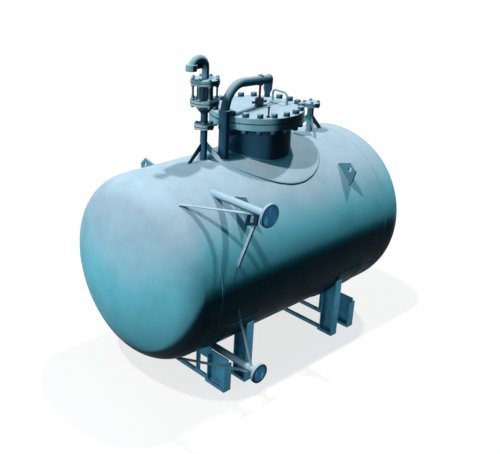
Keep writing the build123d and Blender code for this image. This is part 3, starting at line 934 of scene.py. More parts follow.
# A nut's hole as a share of its stud's radius, so that the thread fills it
NUT_HOLE_SHARE = 0.9


def stood(name: str, data: bpy.types.ID) -> bpy.types.Object:
    """Stands a mesh, a lamp or a camera in the scene.

    Args:
        name: The object's name.
        data: What the object shows.

    Returns:
        The object.
    """
    piece = bpy.data.objects.new(name, data)
    bpy.context.scene.collection.objects.link(piece)
    return piece


def stepped(start: float, end: float, length: float, spacing: float) -> list[float]:
    """Evenly spaced values of a run.

    Args:
        start: The first value.
        end: The last value.
        length: How long the run is.
        spacing: The distance wanted between neighbours.

    Returns:
        The values, both ends among them.
    """
    count = max(2, int(round(length / spacing)))
    return [start + (end - start) * i / count for i in range(count + 1)]


class Forge:
    """Collects the faces of one piece and turns them into an object."""

    def __init__(self) -> None:
        """Starts with an empty mesh."""
        self.mesh = bmesh.new()

    def loft(self, rings: Sequence[Sequence[Vector]], closed: bool = False) -> None:
        """Joins rings of points with faces, and closes open ends with a face each.

        Args:
            rings: Rings with equal counts of points.
            closed: Whether the last ring joins the first.
        """
        made = [[self.mesh.verts.new(p) for p in ring] for ring in rings]
        pairs = list(zip(made, made[1:])) + ([(made[-1], made[0])] if closed else [])
        for first, second in pairs:
            count = len(first)
            for i in range(count):
                j = (i + 1) % count
                self.mesh.faces.new((first[i], first[j], second[j], second[i]))
        if not closed:
            self.mesh.faces.new(list(reversed(made[0])))
            self.mesh.faces.new(made[-1])

    def turned(
        self,
        place: Matrix,
        profile: Sequence[Pair],
        sides: int = 32,
        closed: bool = False,
    ) -> None:
        """Turns a profile about the place's z axis.

        Args:
            place: Where the axis stands.
            profile: Pairs of radius and height.
            sides: How many sides the turned shape has.
            closed: Whether the profile closes on itself, as in a ring.
        """
        turns = [FULL_TURN * i / sides for i in range(sides)]
        rings = [
            [place @ Vector((radius * math.cos(t), radius * math.sin(t), height)) for t in turns]
            for radius, height in profile
        ]
        self.loft(rings, closed=closed)

    def plate(self, outline: Sequence[Vector], through: Vector, bevel: float = 0.0008) -> None:
        """Adds a plate with lightly broken edges.

        Args:
            outline: The corners of one face.
            through: From that face to the other.
            bevel: How far the edges are broken.
        """
        middle = sum(outline, Vector()) / len(outline)
        step = through.normalized() * bevel

        def ring(inset: float, shift: Vector) -> list[Vector]:
            """The outline, drawn in and moved through the plate."""
            return [p + (middle - p).normalized() * inset + shift for p in outline]

        places = ((bevel, Vector()), (0.0, step), (0.0, through - step), (bevel, through))
        self.loft([ring(inset, shift) for inset, shift in places])

    def strap(self, outer: Sequence[Vector], inner: Sequence[Vector], through: Vector) -> None:
        """Adds a flat bar bent into a closed loop.

        Args:
            outer: The outer corners of the loop.
            inner: The inner corners, in the same order.
            through: The bar's width, across the loop.
        """
        half = through / 2
        rings = [
            [outside - half, outside + half, inside + half, inside - half]
            for outside, inside in zip(outer, inner)
        ]
        self.loft(rings, closed=True)

    def nut(self, place: Matrix, across: float, height: float, bore: float) -> None:
        """Adds a chamfered hexagon nut.

        Args:
            place: Its seat, with z along its axis.
            across: The width across its flats.
            height: Its height.
            bore: The radius of its hole.
        """
        flat = across / 2
        corner = flat / math.cos(math.pi / 6)
        turns = [math.pi * i / 6 for i in range(12)]

        def ring(corner_reach: float, flat_reach: float, z: float) -> list[Vector]:
            """Twelve points, corners and middles of flats in turn."""
            pairs = zip((corner_reach, flat_reach) * 6, turns)
            return [place @ Vector((r * math.cos(t), r * math.sin(t), z)) for r, t in pairs]

        bevel, face = (corner - flat) * 0.9, flat * 0.97
        rings = [
            ring(bore, bore, 0.0),
            ring(face, face, 0.0),
            ring(corner, flat, bevel),
            ring(corner, flat, height - bevel),
            ring(face, face, height),
            ring(bore, bore, height),
        ]
        self.loft(rings, closed=True)

    def stud(self, place: Matrix, radius: float, low: float, high: float, pitch: float) -> None:
        """Adds a threaded stud with chamfered ends.

        Args:
            place: Its axis, as the place's z.
            radius: Its outer radius.
            low: Where it starts along the axis.
            high: Where it ends.
            pitch: The distance from thread to thread.
        """
        root = radius - 0.55 * pitch
        tip = root * 0.92
        profile = [(tip, low), (radius, low + pitch)]
        turns = max(1, int((high - low - 2 * pitch) / pitch))
        step = (high - low - 2 * pitch) / turns
        for k in range(turns):
            z = low + pitch + k * step
            profile += [(root, z + 0.5 * step), (radius, z + step)]
        profile.append((tip, high))
        self.turned(place, profile, sides=14)

    def bead(
        self,
        line: Sequence[Vector],
        outward: Sequence[Vector],
        width: float,
        height: float,
        closed: bool = False,
        pitch: float = 0.010,
    ) -> None:
        """Lays a weld bead along a line.

        Args:
            line: Evenly spaced points along its root.
            outward: The way it stands up, at each point.
            width: Its half width.
            height: How high it stands.
            closed: Whether it runs back to its start.
            pitch: The distance from ripple to ripple.
        """
        count, sides = len(line), 7
        swell, waver, waver_rate, end_share, root_depth = 0.10, 0.05, 47.0, 0.35, 0.5
        travelled, rings = 0.0, []
        for i, point in enumerate(line):
            before = line[i - 1] if i or closed else line[0]
            after = line[(i + 1) % count] if i + 1 < count or closed else line[-1]
            along = (after - before).normalized()
            stand = (outward[i] - along * outward[i].dot(along)).normalized()
            across = along.cross(stand)
            if i:
                travelled += (point - line[i - 1]).length
            ripple = 1.0 + swell * math.sin(FULL_TURN * travelled / pitch)
            ripple += waver * math.sin(travelled * waver_rate)
            ends = end_share if not closed and i in (0, count - 1) else 1.0
            ring = []
            for k in range(sides):
                turn = math.pi * k / (sides - 1)
                wide = across * width * ripple * ends * math.cos(turn)
                high = stand * height * ripple * ends * math.sin(turn)
                ring.append(point + wide + high)
            ring.append(point - stand * height * root_depth)
            rings.append(ring)
        self.loft(rings, closed=closed)

    def finished(
        self,
        name: str,
        body: Body,
        slot: Slot,
        paint: bpy.types.Material,
        smooth: float = 40.0,
    ) -> bpy.types.Object:
        """Turns what was forged into a piece that rides on a body.

        Args:
            name: The piece's name.
            body: The body it moves with.
            slot: The record slot of its finish; not used.
            paint: Its material.
            smooth: Edges sharper than this angle stay crisp, in degrees.

        Returns:
            The new object.
        """
        bmesh.ops.recalc_face_normals(self.mesh, faces=self.mesh.faces)
        data = bpy.data.meshes.new(name)
        self.mesh.to_mesh(data)
        self.mesh.free()
        for face in data.polygons:
            face.use_smooth = True
        data.set_sharp_from_angle(angle=math.radians(smooth))
        piece = stood(name, data)
        data.materials.append(paint)
        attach(piece, body.value)
        LOG.info("%s: %d faces on %s", name, len(data.polygons), body.value)
        return piece


# Sub-assemblies


@dataclass
class CadDressing:
    """Gives every CAD node its finish."""

    shop: PaintShop
    nodes: dict[str, bpy.types.Object]
    record: dict
    shell_nodes: tuple[str, ...] = (
        "shell_barrel",
        "near_head",
        "far_head",
        "manway_pad",
        "near_saddle_pad",
        "far_saddle_pad",
    )
    nozzle_nodes: tuple[str, ...] = ("upper_gauge_nozzle", "lower_gauge_nozzle")
    lug_nodes: tuple[str, ...] = ("near_lifting_lugs", "far_lifting_lugs")
    # Nodes in the paler rim paint, a painted highlight
    rim_nodes: tuple[str, ...] = (
        "manway_flange",
        "manway_cover",
        "cover_handle",
        "vent_bend",
        "stub_blind",
    )
    domed_nodes: tuple[str, ...] = ("near_head", "far_head")
    pole_merge: float = 0.00005

    def paint_for(self, node: str, slot: Slot) -> bpy.types.Material:
        """The finish of one node.

        Args:
            node: The node's name.
            slot: Its slot in the record.

        Returns:
            Its material.
        """
        if node in self.rim_nodes:
            return self.shop.rims
        if node in self.nozzle_nodes:
            return self.shop.nozzles
        if node in self.lug_nodes:
            return self.shop.lugs
        prefix = node.split("_")[0]
        if prefix in self.shop.stacks and node not in self.shell_nodes:
            return self.shop.stacks[prefix]
        if slot is Slot.TANK and node not in self.shell_nodes:
            return self.shop.shaded_fittings
        if node == "lower_gauge_cap":
            return self.shop.caps["lower"]
        return self.shop.of_slot(slot)

    def dress(self) -> None:
        """Paints all nodes and evens the shading of the heads, down to their poles."""
        for part in self.record["subparts"]:
            name, slot = part["node"], Slot(part["material_slot"])
            node = self.nodes[name]
            node.data.materials.clear()
            node.data.materials.append(self.paint_for(name, slot))
            if name in self.domed_nodes:
                node.modifiers.new("welded_pole", "WELD").merge_threshold = self.pole_merge
                node.modifiers.new("even_normals", "WEIGHTED_NORMAL").keep_sharp = True
            LOG.info("%s: dressed", name)


@dataclass
class SubAssembly:
    """What every sub-assembly of the scene's own is made with."""

    vessel: VesselFrame
    shop: PaintShop


@dataclass
class Bolting(SubAssembly):
    """Studs and nuts that stand in a ring."""

    def places(
        self, x: float, circle: float, count: int, start: float, twist: float
    ) -> Iterable[Matrix]:
        """The axis of each stud, at the height of the vessel's axis.

        Args:
            x: The middle of the ring along the vessel.
            circle: The radius of the ring.
            count: How many studs there are.
            start: Where the first one stands, in degrees.
            twist: What turns each nut a little differently.

        Returns:
            One place for each stud.
        """
        for i in range(count):
            angle = math.radians(start + 360.0 * i / count)
            place = self.vessel.upright(
                x + circle * math.cos(angle), circle * math.sin(angle), 0.0
            )
            yield place @ Matrix.Rotation(angle + twist * i * i, 4, "Z")


@dataclass
class ManwayBolting(Bolting):
    """Studs and nuts of the manway cover, split at the joint so that the cover can lift."""

    circle: float = 0.380
    count: int = 20
    start: float = 11.7
    twist: float = 0.37
    stud_radius: float = 0.0150
    nut_across: float = 0.050
    nut_height: float = 0.032
    stud_rise: float = 0.0385
    washer_radius: float = 0.029
    washer_thick: float = 0.004
    washer_sides: int = 28
    pitch: float = 0.0035
    parting: float = 0.0002

    def half(self, forge: Forge, place: Matrix, face: float, way: int) -> None:
        """Adds the washer, nut and half stud that stand on one face of the joint.

        Args:
            forge: Where they go.
            place: The stud's axis.
            face: The height of the face.
            way: 1 above the cover, and -1 below the flange.
        """
        low = face if way > 0 else face - self.washer_thick
        high = low + self.washer_thick
        washer = [
            (self.stud_radius, low),
            (self.washer_radius, low),
            (self.washer_radius, high),
            (self.stud_radius, high),
        ]
        forge.turned(place, washer, sides=self.washer_sides, closed=True)
        seat = high if way > 0 else low - self.nut_height
        hole = self.stud_radius * NUT_HOLE_SHARE
        seated = place @ Matrix.Translation((0, 0, seat))
        forge.nut(seated, self.nut_across, self.nut_height, hole)
        parted = self.vessel.manway_joint + way * self.parting
        low, high = sorted((parted, face + way * self.stud_rise))
        forge.stud(place, self.stud_radius, low, high, self.pitch)

    def build(self) -> None:
        """Builds the upper and the lower halves."""
        upper, lower = Forge(), Forge()
        middle = self.vessel.manway_x
        for place in self.places(middle, self.circle, self.count, self.start, self.twist):
            self.half(upper, place, self.vessel.cover_top, 1)
            self.half(lower, place, self.vessel.flange_low, -1)
        upper.finished("manway_nuts_and_studs", Body.COVER, Slot.TANK, self.shop.shaded_fittings)
        lower.finished("manway_lower_nuts", Body.VESSEL, Slot.TANK, self.shop.shaded_fittings)


@dataclass
class NozzleBolting(Bolting):
    """Studs and nuts through one or more small flanges."""

    name: str
    x: float
    low: float
    high: float
    paint: bpy.types.Material
    circle: float = 0.0625
    count: int = 4
    start: float = 45.0
    twist: float = 0.53
    seats: tuple[tuple[float, int], ...] = ()
    stud_radius: float = 0.0080
    nut_across: float = 0.027
    nut_height: float = 0.0160
    overrun: float = 0.003
    pitch: float = 0.0022

    def build(self) -> None:
        """Builds the studs with a nut at each end, and at each further seat."""
        forge = Forge()
        ends = self.nut_height + self.overrun
        hole = self.stud_radius * NUT_HOLE_SHARE
        for place in self.places(self.x, self.circle, self.count, self.start, self.twist):
            forge.stud(place, self.stud_radius, self.low - ends, self.high + ends, self.pitch)
            for level, way in ((self.high, 1), (self.low, -1), *self.seats):
                seat = level if way > 0 else level - self.nut_height
                seated = place @ Matrix.Translation((0, 0, seat))
                forge.nut(seated, self.nut_across, self.nut_height, hole)
        forge.finished(self.name, Body.VESSEL, Slot.TANK, self.paint)


@dataclass
class LiftingGear(SubAssembly):
    """The threaded lifting screw, and the jack pin on the cover."""

    screw_x: float = 0.104
    screw_y: float = -0.006
    screw_radius: float = 0.011
    screw_pitch: float = 0.004
    pin_x: float = -0.107
    pin_y: float = -0.310
    pin_radius: float = 0.0075
    pin_low: float = 0.001
    pin_height: float = 0.084
    pin_pitch: float = 0.0020
    pin_nut_across: float = 0.030
    pin_nut_height: float = 0.014
    pin_nut_hole: float = 0.95
    bar_half: float = 0.014
    bar_share: float = 0.9
    bar_tip: float = 0.6
    bar_bevel: float = 0.003

    def build(self) -> None:
        """Builds the screw and the pin."""
        low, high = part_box("lifting_screw")
        middle = self.vessel.middle.z
        place = self.vessel.upright(self.screw_x, self.screw_y, 0.0)
        screw = Forge()
        screw.stud(place, self.screw_radius, low.z - middle, high.z - middle, self.screw_pitch)
        piece = screw.finished("lifting_screw_thread", Body.COVER, Slot.STEEL, self.shop.steel)
        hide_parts("lifting_screw")
        pin = Forge()
        spot = self.vessel.upright(self.pin_x, self.pin_y, self.vessel.cover_top)
        hole = self.pin_radius * self.pin_nut_hole
        pin.nut(spot, self.pin_nut_across, self.pin_nut_height, hole)
        pin.stud(spot, self.pin_radius, self.pin_low, self.pin_height, self.pin_pitch)
        bar = spot @ Matrix.Translation((0, 0, self.pin_height))
        bar = bar @ Matrix.Rotation(math.radians(90), 4, "Y")
        half, thick = self.bar_half, self.pin_radius * self.bar_share
        inner, tip = half - self.bar_bevel, thick * self.bar_tip
        pin.turned(bar, [(tip, -half), (thick, -inner), (thick, inner), (tip, half)], sides=16)
        pin.finished("cover_jack_pin", Body.COVER, Slot.STEEL, self.shop.steel)


@dataclass
class GaugeNozzles(SubAssembly):
    """The pipe and flange of each gauge nozzle, with the pipe cut to the shell."""

    pipe_radius: float = 0.03015
    bore: float = 0.0265
    flange_thick: float = 0.020
    corner: float = 0.0012
    throat: float = 0.005
    wall: float = 0.010
    sides: int = 64

    def ring(self, centre: Vector, radius: float, depth: float | None) -> list[Vector]:
        """A ring of points round a nozzle's axis.

        Args:
            centre: The middle of the nozzle's outer face.
            radius: The ring's radius.
            depth: How far in from the face it lies, or None where it meets the inside of the shell.

        Returns:
            The points.
        """
        inside = self.vessel.radius - self.wall
        points = []
        for i in range(self.sides):
            turn = FULL_TURN * i / self.sides
            across, up = radius * math.cos(turn), radius * math.sin(turn)
            point = centre + Vector((across, depth or 0.0, up))
            if depth is None:
                level = point.z - self.vessel.middle.z
                point.y = self.vessel.middle.y - math.sqrt(inside * inside - level * level)
            points.append(point)
        return points

    def build(self) -> None:
        """Builds both nozzles."""
        for gauge in GAUGES:
            low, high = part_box(f"{gauge.word}_gauge_nozzle")
            rim = (high.x - low.x) / 2
            centre = Vector(((low.x + high.x) / 2, low.y, (low.z + high.z) / 2))
            back, throat = self.flange_thick, self.throat
            sizes = (
                (self.bore, 0.0),
                (rim - self.corner, 0.0),
                (rim, self.corner),
                (rim, back - self.corner),
                (rim - self.corner, back),
                (self.pipe_radius + throat, back),
                (self.pipe_radius + throat * 0.3, back + throat * 0.5),
                (self.pipe_radius, back + throat * 1.5),
                (self.pipe_radius, None),
                (self.bore, None),
            )
            forge = Forge()
            rings = [self.ring(centre, radius, depth) for radius, depth in sizes]
            forge.loft(rings, closed=True)
            name, paint = f"{gauge.word}_nozzle_pipe", self.shop.nozzles
            piece = forge.finished(name, Body.VESSEL, Slot.TANK, paint, smooth=30)
            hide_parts(f"{gauge.word}_gauge_nozzle")


@dataclass
class GaugeBraces(SubAssembly):
    """The two flat braces of each gauge nozzle, and the strap under the upper one."""

    pipe_radius: float = 0.03015
    head_foot: Pair = (-1.150, -0.417)
    head_width: float = 0.032
    side_width: float = 0.024
    thick: float = 0.006
    seat: float = 0.008
    strap_x: float = -0.806
    strap_outer: tuple[Pair, ...] = (
        (-0.797, 0.649),
        (-0.903, 0.670),
        (-0.889, 0.574),
        (-0.773, 0.539),
    )
    strap_inner: tuple[Pair, ...] = (
        (-0.819, 0.637),
        (-0.860, 0.647),
        (-0.856, 0.592),
        (-0.809, 0.571),
    )
    strap_width: float = 0.016

    def flat(
        self,
        forge: Forge,
        foot: Vector,
        grip: Vector,
        wide: Vector,
        width: float,
        lip: float = 0.0,
    ) -> None:
        """Adds a flat bar from a foot on the vessel to a grip on the pipe.

        Args:
            forge: Where it goes.
            foot: Its middle at the foot.
            grip: Its middle at the grip.
            wide: Roughly the way of its width.
            width: Its width.
            lip: How far a flange on its outer edge reaches along the vessel, if it has one.
        """
        along = (grip - foot).normalized()
        across = (wide - along * wide.dot(along)).normalized() * width / 2
        through = along.cross(across).normalized() * self.thick
        start = foot - along * self.seat - through / 2
        end = grip - through / 2
        forge.plate([start - across, start + across, end + across, end - across], through)
        if lip:
            edge = across if across.y < 0.0 else -across
            reach = Vector((lip, 0.0, 0.0))
            outline = [start + edge, end + edge, end + edge + reach, start + edge + reach]
            forge.plate(outline, -edge.normalized() * self.thick)

    def build(self) -> None:
        """Builds both pairs of braces and the strap."""
        radius, x = self.vessel.radius, self.vessel.gauge_x
        for gauge in GAUGES:
            forge = Forge()
            level = gauge.sign * self.vessel.gauge_level
            under = level - self.pipe_radius - self.thick / 2
            foot = self.vessel.at(*self.head_foot, level)
            grip = self.vessel.at(x, gauge.head_grip, under)
            sideways = Vector((grip.y - foot.y, foot.x - grip.x, 0.0))
            self.flat(forge, foot, grip, sideways, self.head_width)
            foot_x, foot_z = gauge.side_foot
            foot_y = -math.sqrt(radius * radius - foot_z * foot_z)
            foot = self.vessel.at(foot_x, foot_y, gauge.sign * foot_z)
            grip_y, grip_z = gauge.side_grip
            grip = self.vessel.at(x, grip_y, gauge.sign * grip_z)
            across = Vector((0.0, 1.0, 0.0))
            self.flat(forge, foot, grip, across, self.side_width, gauge.side_lip)
            name, paint = f"{gauge.word}_nozzle_braces", self.shop.braces
            piece = forge.finished(name, Body.VESSEL, Slot.TANK, paint, smooth=20)
            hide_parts(f"{gauge.word}_gauge_braces")
        strap = Forge()
        strap.strap(
            [self.vessel.at(self.strap_x, y, z) for y, z in self.strap_outer],
            [self.vessel.at(self.strap_x, y, z) for y, z in self.strap_inner],
            Vector((self.strap_width, 0.0, 0.0)),
        )
        # The strap wears painted shade, for the shadow under the upper gauge pipe
        strap.finished("gauge_brace_strap", Body.VESSEL, Slot.TANK, self.shop.dark, smooth=20)


@dataclass
class VentWeb(SubAssembly):
    """The web plate in the crook of the vent's bend."""

    x: float = -0.612
    level: float = 1.574
    radius: float = 0.048
    drop: float = 0.006
    thick: float = 0.006
    steps: int = 16

    def build(self) -> None:
        """Builds the web."""
        forge = Forge()
        near, far, low = self.x - self.radius, self.x + self.radius, self.level - self.drop
        arc = [math.pi * i / self.steps for i in range(self.steps + 1)]
        outline = [
            (self.x + self.radius * math.cos(t), self.level + self.radius * math.sin(t))
            for t in arc
        ]
        outline += [(near, low), (far, low)]
        corners = [self.vessel.at(x, -self.thick / 2, z) for x, z in outline]
        forge.plate(corners, Vector((0.0, self.thick, 0.0)))
        # The web wears painted shade, for the shade in the crook of the bend
        forge.finished("vent_bend_web", Body.VESSEL, Slot.TANK, self.shop.dark, smooth=20)


@dataclass
class WeldWork(SubAssembly):
    """All weld beads of the vessel and its supports.

    A bead's size is its half width and its height, and its lean is how far it turns from standing
    straight out.
    """

    spacing: float = 0.0045
    fine_share: float = 0.7
    fine_pitch: float = 0.006
    seam_x: float = 1.040
    seam_width: float = 0.0085
    seam_height: float = 0.0028
    root_share: float = 0.35
    pad_centre: Pair = (0.110, 0.0)
    pad_half: Pair = (0.570, 0.528)
    pad_bead: float = 0.0085
    pad_lean: float = 0.9
    neck_radius: float = 0.309
    neck_bead: float = 0.0090
    neck_top_bead: float = 0.0070
    sleeve_centre: Pair = (-0.385, -0.082)
    sleeve_radius: float = 0.0445
    sleeve_bead: float = 0.0065
    pipe_radius: float = 0.0302
    pipe_bead: float = 0.0060
    flange_bead: float = 0.0045
    gauge_pipe: float = 0.030
    gauge_back: float = -0.982
    gauge_throat: float = 0.032
    side_stretch: float = 1.5
    lug_x: float = 0.650
    lug_turn: float = 45.0
    lug_half: float = 0.106
    lug_face: float = 0.011
    lug_bead: float = 0.0065
    brace_start: float = 0.137
    brace_length: float = 0.047
    brace_face: float = 0.0035
    brace_bead: float = 0.0045
    saddle_rows: tuple[tuple[float, int], ...] = ((-0.715, -1), (0.681, 1))
    saddle_end: float = 0.171
    saddle_side: float = 0.172
    saddle_opening: float = 65.5
    saddle_gap: float = 0.0015
    saddle_bead: float = 0.0075
    saddle_lean: float = 0.8
    base_top: float = 0.030
    leg_frames: tuple[Triple, ...] = (
        (0.131, 0.490, 0.325),
        (-0.115, 0.555, 0.555),
    )
    leg_end: float = 0.700
    leg_plate: float = 0.012
    web_face: float = 0.006
    plate_half: float = 0.038
    leg_bead: float = 0.0050

    def on_shell(self, x: float, y: float, lift: float = 0.0) -> Vector:
        """A point on the shell above a place in plan.

        Args:
            x: Along the vessel.
            y: Across it.
            lift: How far outside the shell.

        Returns:
            The point.
        """
        reach = self.vessel.radius + lift
        return self.vessel.at(x, y, math.sqrt(reach * reach - y * y))

    def radial(self, point: Vector) -> Vector:
        """The way straight out from the vessel's axis at a point."""
        out = point - self.vessel.middle
        return Vector((0.0, out.y, out.z)).normalized()

    def hoop(self, forge: Forge, x: float, width: float, height: float) -> None:
        """Lays a bead all round the shell.

        Args:
            forge: Where it goes.
            x: Its place along the vessel.
            width: Its half width.
            height: How high it stands.
        """
        radius = self.vessel.radius
        turns = self.round_trip(radius, self.spacing)
        line = [self.vessel.about(x, radius, t) for t in turns]
        forge.bead(line, [self.radial(p) for p in line], width, height, closed=True)

    def round_trip(self, radius: float, spacing: float) -> list[float]:
        """Evenly spaced turns of a full circle, without its end."""
        return stepped(0.0, FULL_TURN, FULL_TURN * radius, spacing)[:-1]

    def plan_loop(
        self,
        forge: Forge,
        centre: Pair,
        half: Pair,
        lift: float,
        size: float,
        lean: float,
    ) -> None:
        """Lays a bead round an ellipse drawn in plan on the shell.

        Args:
            forge: Where it goes.
            centre: The ellipse's middle.
            half: Its half axes.
            lift: How far outside the shell it lies.
            size: Its half width and height.
            lean: How much it leans away from the middle, against standing straight out.
        """
        girth = math.pi * (half[0] + half[1])
        line, outward = [], []
        for t in stepped(0.0, FULL_TURN, girth, self.spacing)[:-1]:
            x, y = centre[0] + half[0] * math.cos(t), centre[1] + half[1] * math.sin(t)
            point = self.on_shell(x, y, lift)
            away = Vector((math.cos(t) / half[0], math.sin(t) / half[1], 0.0)).normalized()
            line.append(point)
            outward.append(self.radial(point) + away * lean)
        forge.bead(line, outward, size, size, closed=True)

    def ring(self, forge: Forge, place: Matrix, radius: float, size: float, lean: float) -> None:
        """Lays a bead round a pipe.

        Args:
            forge: Where it goes.
            place: The pipe's axis as z, at the bead's level.
            radius: The pipe's radius.
            size: The bead's half width and height.
            lean: The z part of the way that it stands up.
        """
        line, outward = [], []
        turn = place.to_3x3()
        for t in self.round_trip(radius, self.spacing * self.fine_share):
            away = turn @ Vector((math.cos(t), math.sin(t), 0.0))
            line.append(place.translation + away * radius)
            outward.append(away + turn @ Vector((0.0, 0.0, lean)))
        forge.bead(line, outward, size, size, closed=True, pitch=self.fine_pitch)

    def side_ring(self, forge: Forge, z: float, lift: float) -> None:
        """Lays a bead where a gauge nozzle's pipe meets the shell's side or the pad on it.

        Args:
            forge: Where it goes.
            z: The pipe's height above the axis.
            lift: How far outside the shell it lies.
        """
        line, outward = [], []
        radius, reach = self.gauge_pipe, self.vessel.radius + lift
        for t in self.round_trip(radius * self.side_stretch, self.spacing * self.fine_share):
            away = Vector((math.cos(t), 0.0, math.sin(t)))
            level = z + radius * math.sin(t)
            x, y = radius * math.cos(t), -math.sqrt(reach * reach - level * level)
            point = self.vessel.at(self.vessel.gauge_x + x, y, level)
            line.append(point)
            outward.append(self.radial(point) + away)
        size = self.pipe_bead
        forge.bead(line, outward, size, size, closed=True, pitch=self.fine_pitch)

    def straight(self, forge: Forge, start: Vector, end: Vector, way: Vector, size: float) -> None:
        """Lays a straight bead.

        Args:
            forge: Where it goes.
            start: Its start.
            end: Its end.
            way: The way that it stands up.
            size: Its half width and height.
        """
        length = (end - start).length
        shares = stepped(0.0, 1.0, length, self.spacing)
        line = [start.lerp(end, s) for s in shares]
        forge.bead(line, [way] * len(line), size, size)

    def shell_seams(self) -> None:
        """The seams between the barrel and the two heads."""
        forge = Forge()
        for x in (-self.seam_x, self.seam_x):
            self.hoop(forge, x, self.seam_width, self.seam_height)
        forge.finished("head_seam_welds", Body.VESSEL, Slot.TANK, self.shop.shell, smooth=60)

    def manway(self) -> None:
        """The beads of the manway's pad and neck and of the davit's sleeve."""
        forge = Forge()
        middle = (self.vessel.manway_x, 0.0)
        neck, sleeve = (self.neck_radius,) * 2, (self.sleeve_radius,) * 2
        root = PAD_THICK * self.root_share
        self.plan_loop(
            forge, self.pad_centre, self.pad_half, root, self.pad_bead, self.pad_lean
        )
        self.plan_loop(forge, middle, neck, PAD_THICK, self.neck_bead, 1.0)
        under = self.vessel.upright(*middle, self.vessel.flange_low)
        self.ring(forge, under, self.neck_radius, self.neck_top_bead, -1.0)
        self.plan_loop(forge, self.sleeve_centre, sleeve, PAD_THICK, self.sleeve_bead, 1.0)
        forge.finished("manway_welds", Body.VESSEL, Slot.TANK, self.shop.shell, smooth=60)

    def nozzles(self) -> None:
        """The beads of the vent, the blinded nozzle and the gauge nozzles."""
        forge = Forge()
        pipe = (self.pipe_radius,) * 2
        for stack in STACKS:
            self.plan_loop(forge, (stack.x, 0.0), pipe, 0.0, self.pipe_bead, 1.0)
            for i, level in enumerate(stack.weld_levels):
                place = self.vessel.upright(stack.x, 0.0, level)
                self.ring(forge, place, self.pipe_radius, self.flange_bead, 1.0 if i else -1.0)
        for gauge in GAUGES:
            level = gauge.sign * self.vessel.gauge_level
            self.side_ring(forge, level, gauge.pad_lift)
            back = self.vessel.sideward(self.vessel.gauge_x, self.gauge_back, level)
            self.ring(forge, back, self.gauge_throat, self.flange_bead, -1.0)
        forge.finished("nozzle_welds", Body.VESSEL, Slot.TANK, self.shop.welds, smooth=60)

    def lug_foot(self, forge: Forge, x: float, side: int, face: int) -> None:
        """Lays the bead along one face of a lifting lug's foot.

        Args:
            forge: Where it goes.
            x: The lug's place along the vessel.
            side: 1 or -1, the side of the vessel that the lug stands on.
            face: 1 or -1, the lug's face.
        """
        radius, middle = self.vessel.radius, math.radians(self.lug_turn)
        half = self.lug_half / radius
        line = [
            self.vessel.at(
                x + face * self.lug_face, side * radius * math.cos(t), radius * math.sin(t)
            )
            for t in stepped(middle - half, middle + half, 2 * self.lug_half, self.spacing)
        ]
        outward = [self.radial(p) + Vector((face, 0.0, 0.0)) for p in line]
        forge.bead(line, outward, self.lug_bead, self.lug_bead)

    def brace_foot(self, forge: Forge, x: float, heading: int, face: int) -> None:
        """Lays the bead along one face of a stack brace's foot.

        Args:
            forge: Where it goes.
            x: The stack's place along the vessel.
            heading: Where the brace stands round the stack, in degrees.
            face: 1 or -1, the brace's face.
        """
        turn = math.radians(heading)
        out = Vector((math.cos(turn), math.sin(turn), 0.0))
        aside = Vector((-out.y, out.x, 0.0)) * face
        start = Vector((x, 0.0, 0.0)) + out * self.brace_start + aside * self.brace_face
        length = self.brace_length
        steps = stepped(0.0, length, length, self.spacing)
        line = [self.on_shell(*(start + out * s).xy) for s in steps]
        outward = [self.radial(p) + aside for p in line]
        forge.bead(line, outward, self.brace_bead, self.brace_bead)

    def lugs_and_braces(self) -> None:
        """The beads at the feet of the lifting lugs and of the stacks' braces."""
        forge = Forge()
        for x, side, face in product((-self.lug_x, self.lug_x), (-1, 1), (-1, 1)):
            self.lug_foot(forge, x, side, face)
        for stack in STACKS:
            for heading, face in product(stack.brace_headings, (-1, 1)):
                self.brace_foot(forge, stack.x, heading, face)
        forge.finished("lug_and_brace_welds", Body.VESSEL, Slot.TANK, self.shop.welds, smooth=60)

    def saddle_pads(self) -> None:
        """The beads round the pads of the saddles."""
        forge = Forge()
        size = self.saddle_bead
        reach = self.vessel.radius + PAD_THICK * self.root_share
        down, opening = -math.pi / 2, math.radians(self.saddle_opening)
        turns = stepped(down - opening, down + opening, 2 * opening * reach, self.spacing)
        for (saddle, _), end in product(self.saddle_rows, (-1, 1)):
            line = [self.vessel.about(saddle + end * self.saddle_end, reach, t) for t in turns]
            lean = Vector((end, 0.0, 0.0)) * self.saddle_lean
            forge.bead(line, [self.radial(p) + lean for p in line], size, size)
            turn = down + end * (opening + self.saddle_gap)
            spot = self.vessel.about(0.0, reach, turn)
            sideways = Vector((0.0, -math.sin(turn), math.cos(turn))) * end
            start, finish = spot.copy(), spot.copy()
            start.x, finish.x = saddle - self.saddle_side, saddle + self.saddle_side
            way = self.radial(spot) + sideways * self.saddle_lean
            self.straight(forge, start, finish, way, size)
        forge.finished("saddle_pad_welds", Body.VESSEL, Slot.TANK, self.shop.welds, smooth=60)

    def saddle_feet(self) -> None:
        """The beads at the feet of the saddles' legs."""
        forge = Forge()
        low = self.base_top - self.vessel.middle.z
        outer = self.leg_end - self.leg_plate
        half = self.plate_half
        for (saddle, sign), (away, inside, web), side in product(
            self.saddle_rows, self.leg_frames, (-1, 1)
        ):
            x = saddle + sign * away
            for face in (-1, 1):
                start = self.vessel.at(x + face * self.web_face, side * web, low)
                finish = self.vessel.at(x + face * self.web_face, side * outer, low)
                self.straight(forge, start, finish, Vector((face, 0.0, 1.0)), self.leg_bead)
            for y in (side * inside, side * outer):
                start, finish = self.vessel.at(x - half, y, low), self.vessel.at(x + half, y, low)
                self.straight(forge, start, finish, Vector((0.0, -side, 1.0)), self.leg_bead)
        forge.finished("saddle_foot_welds", Body.VESSEL, Slot.SADDLE, self.shop.saddle, smooth=60)

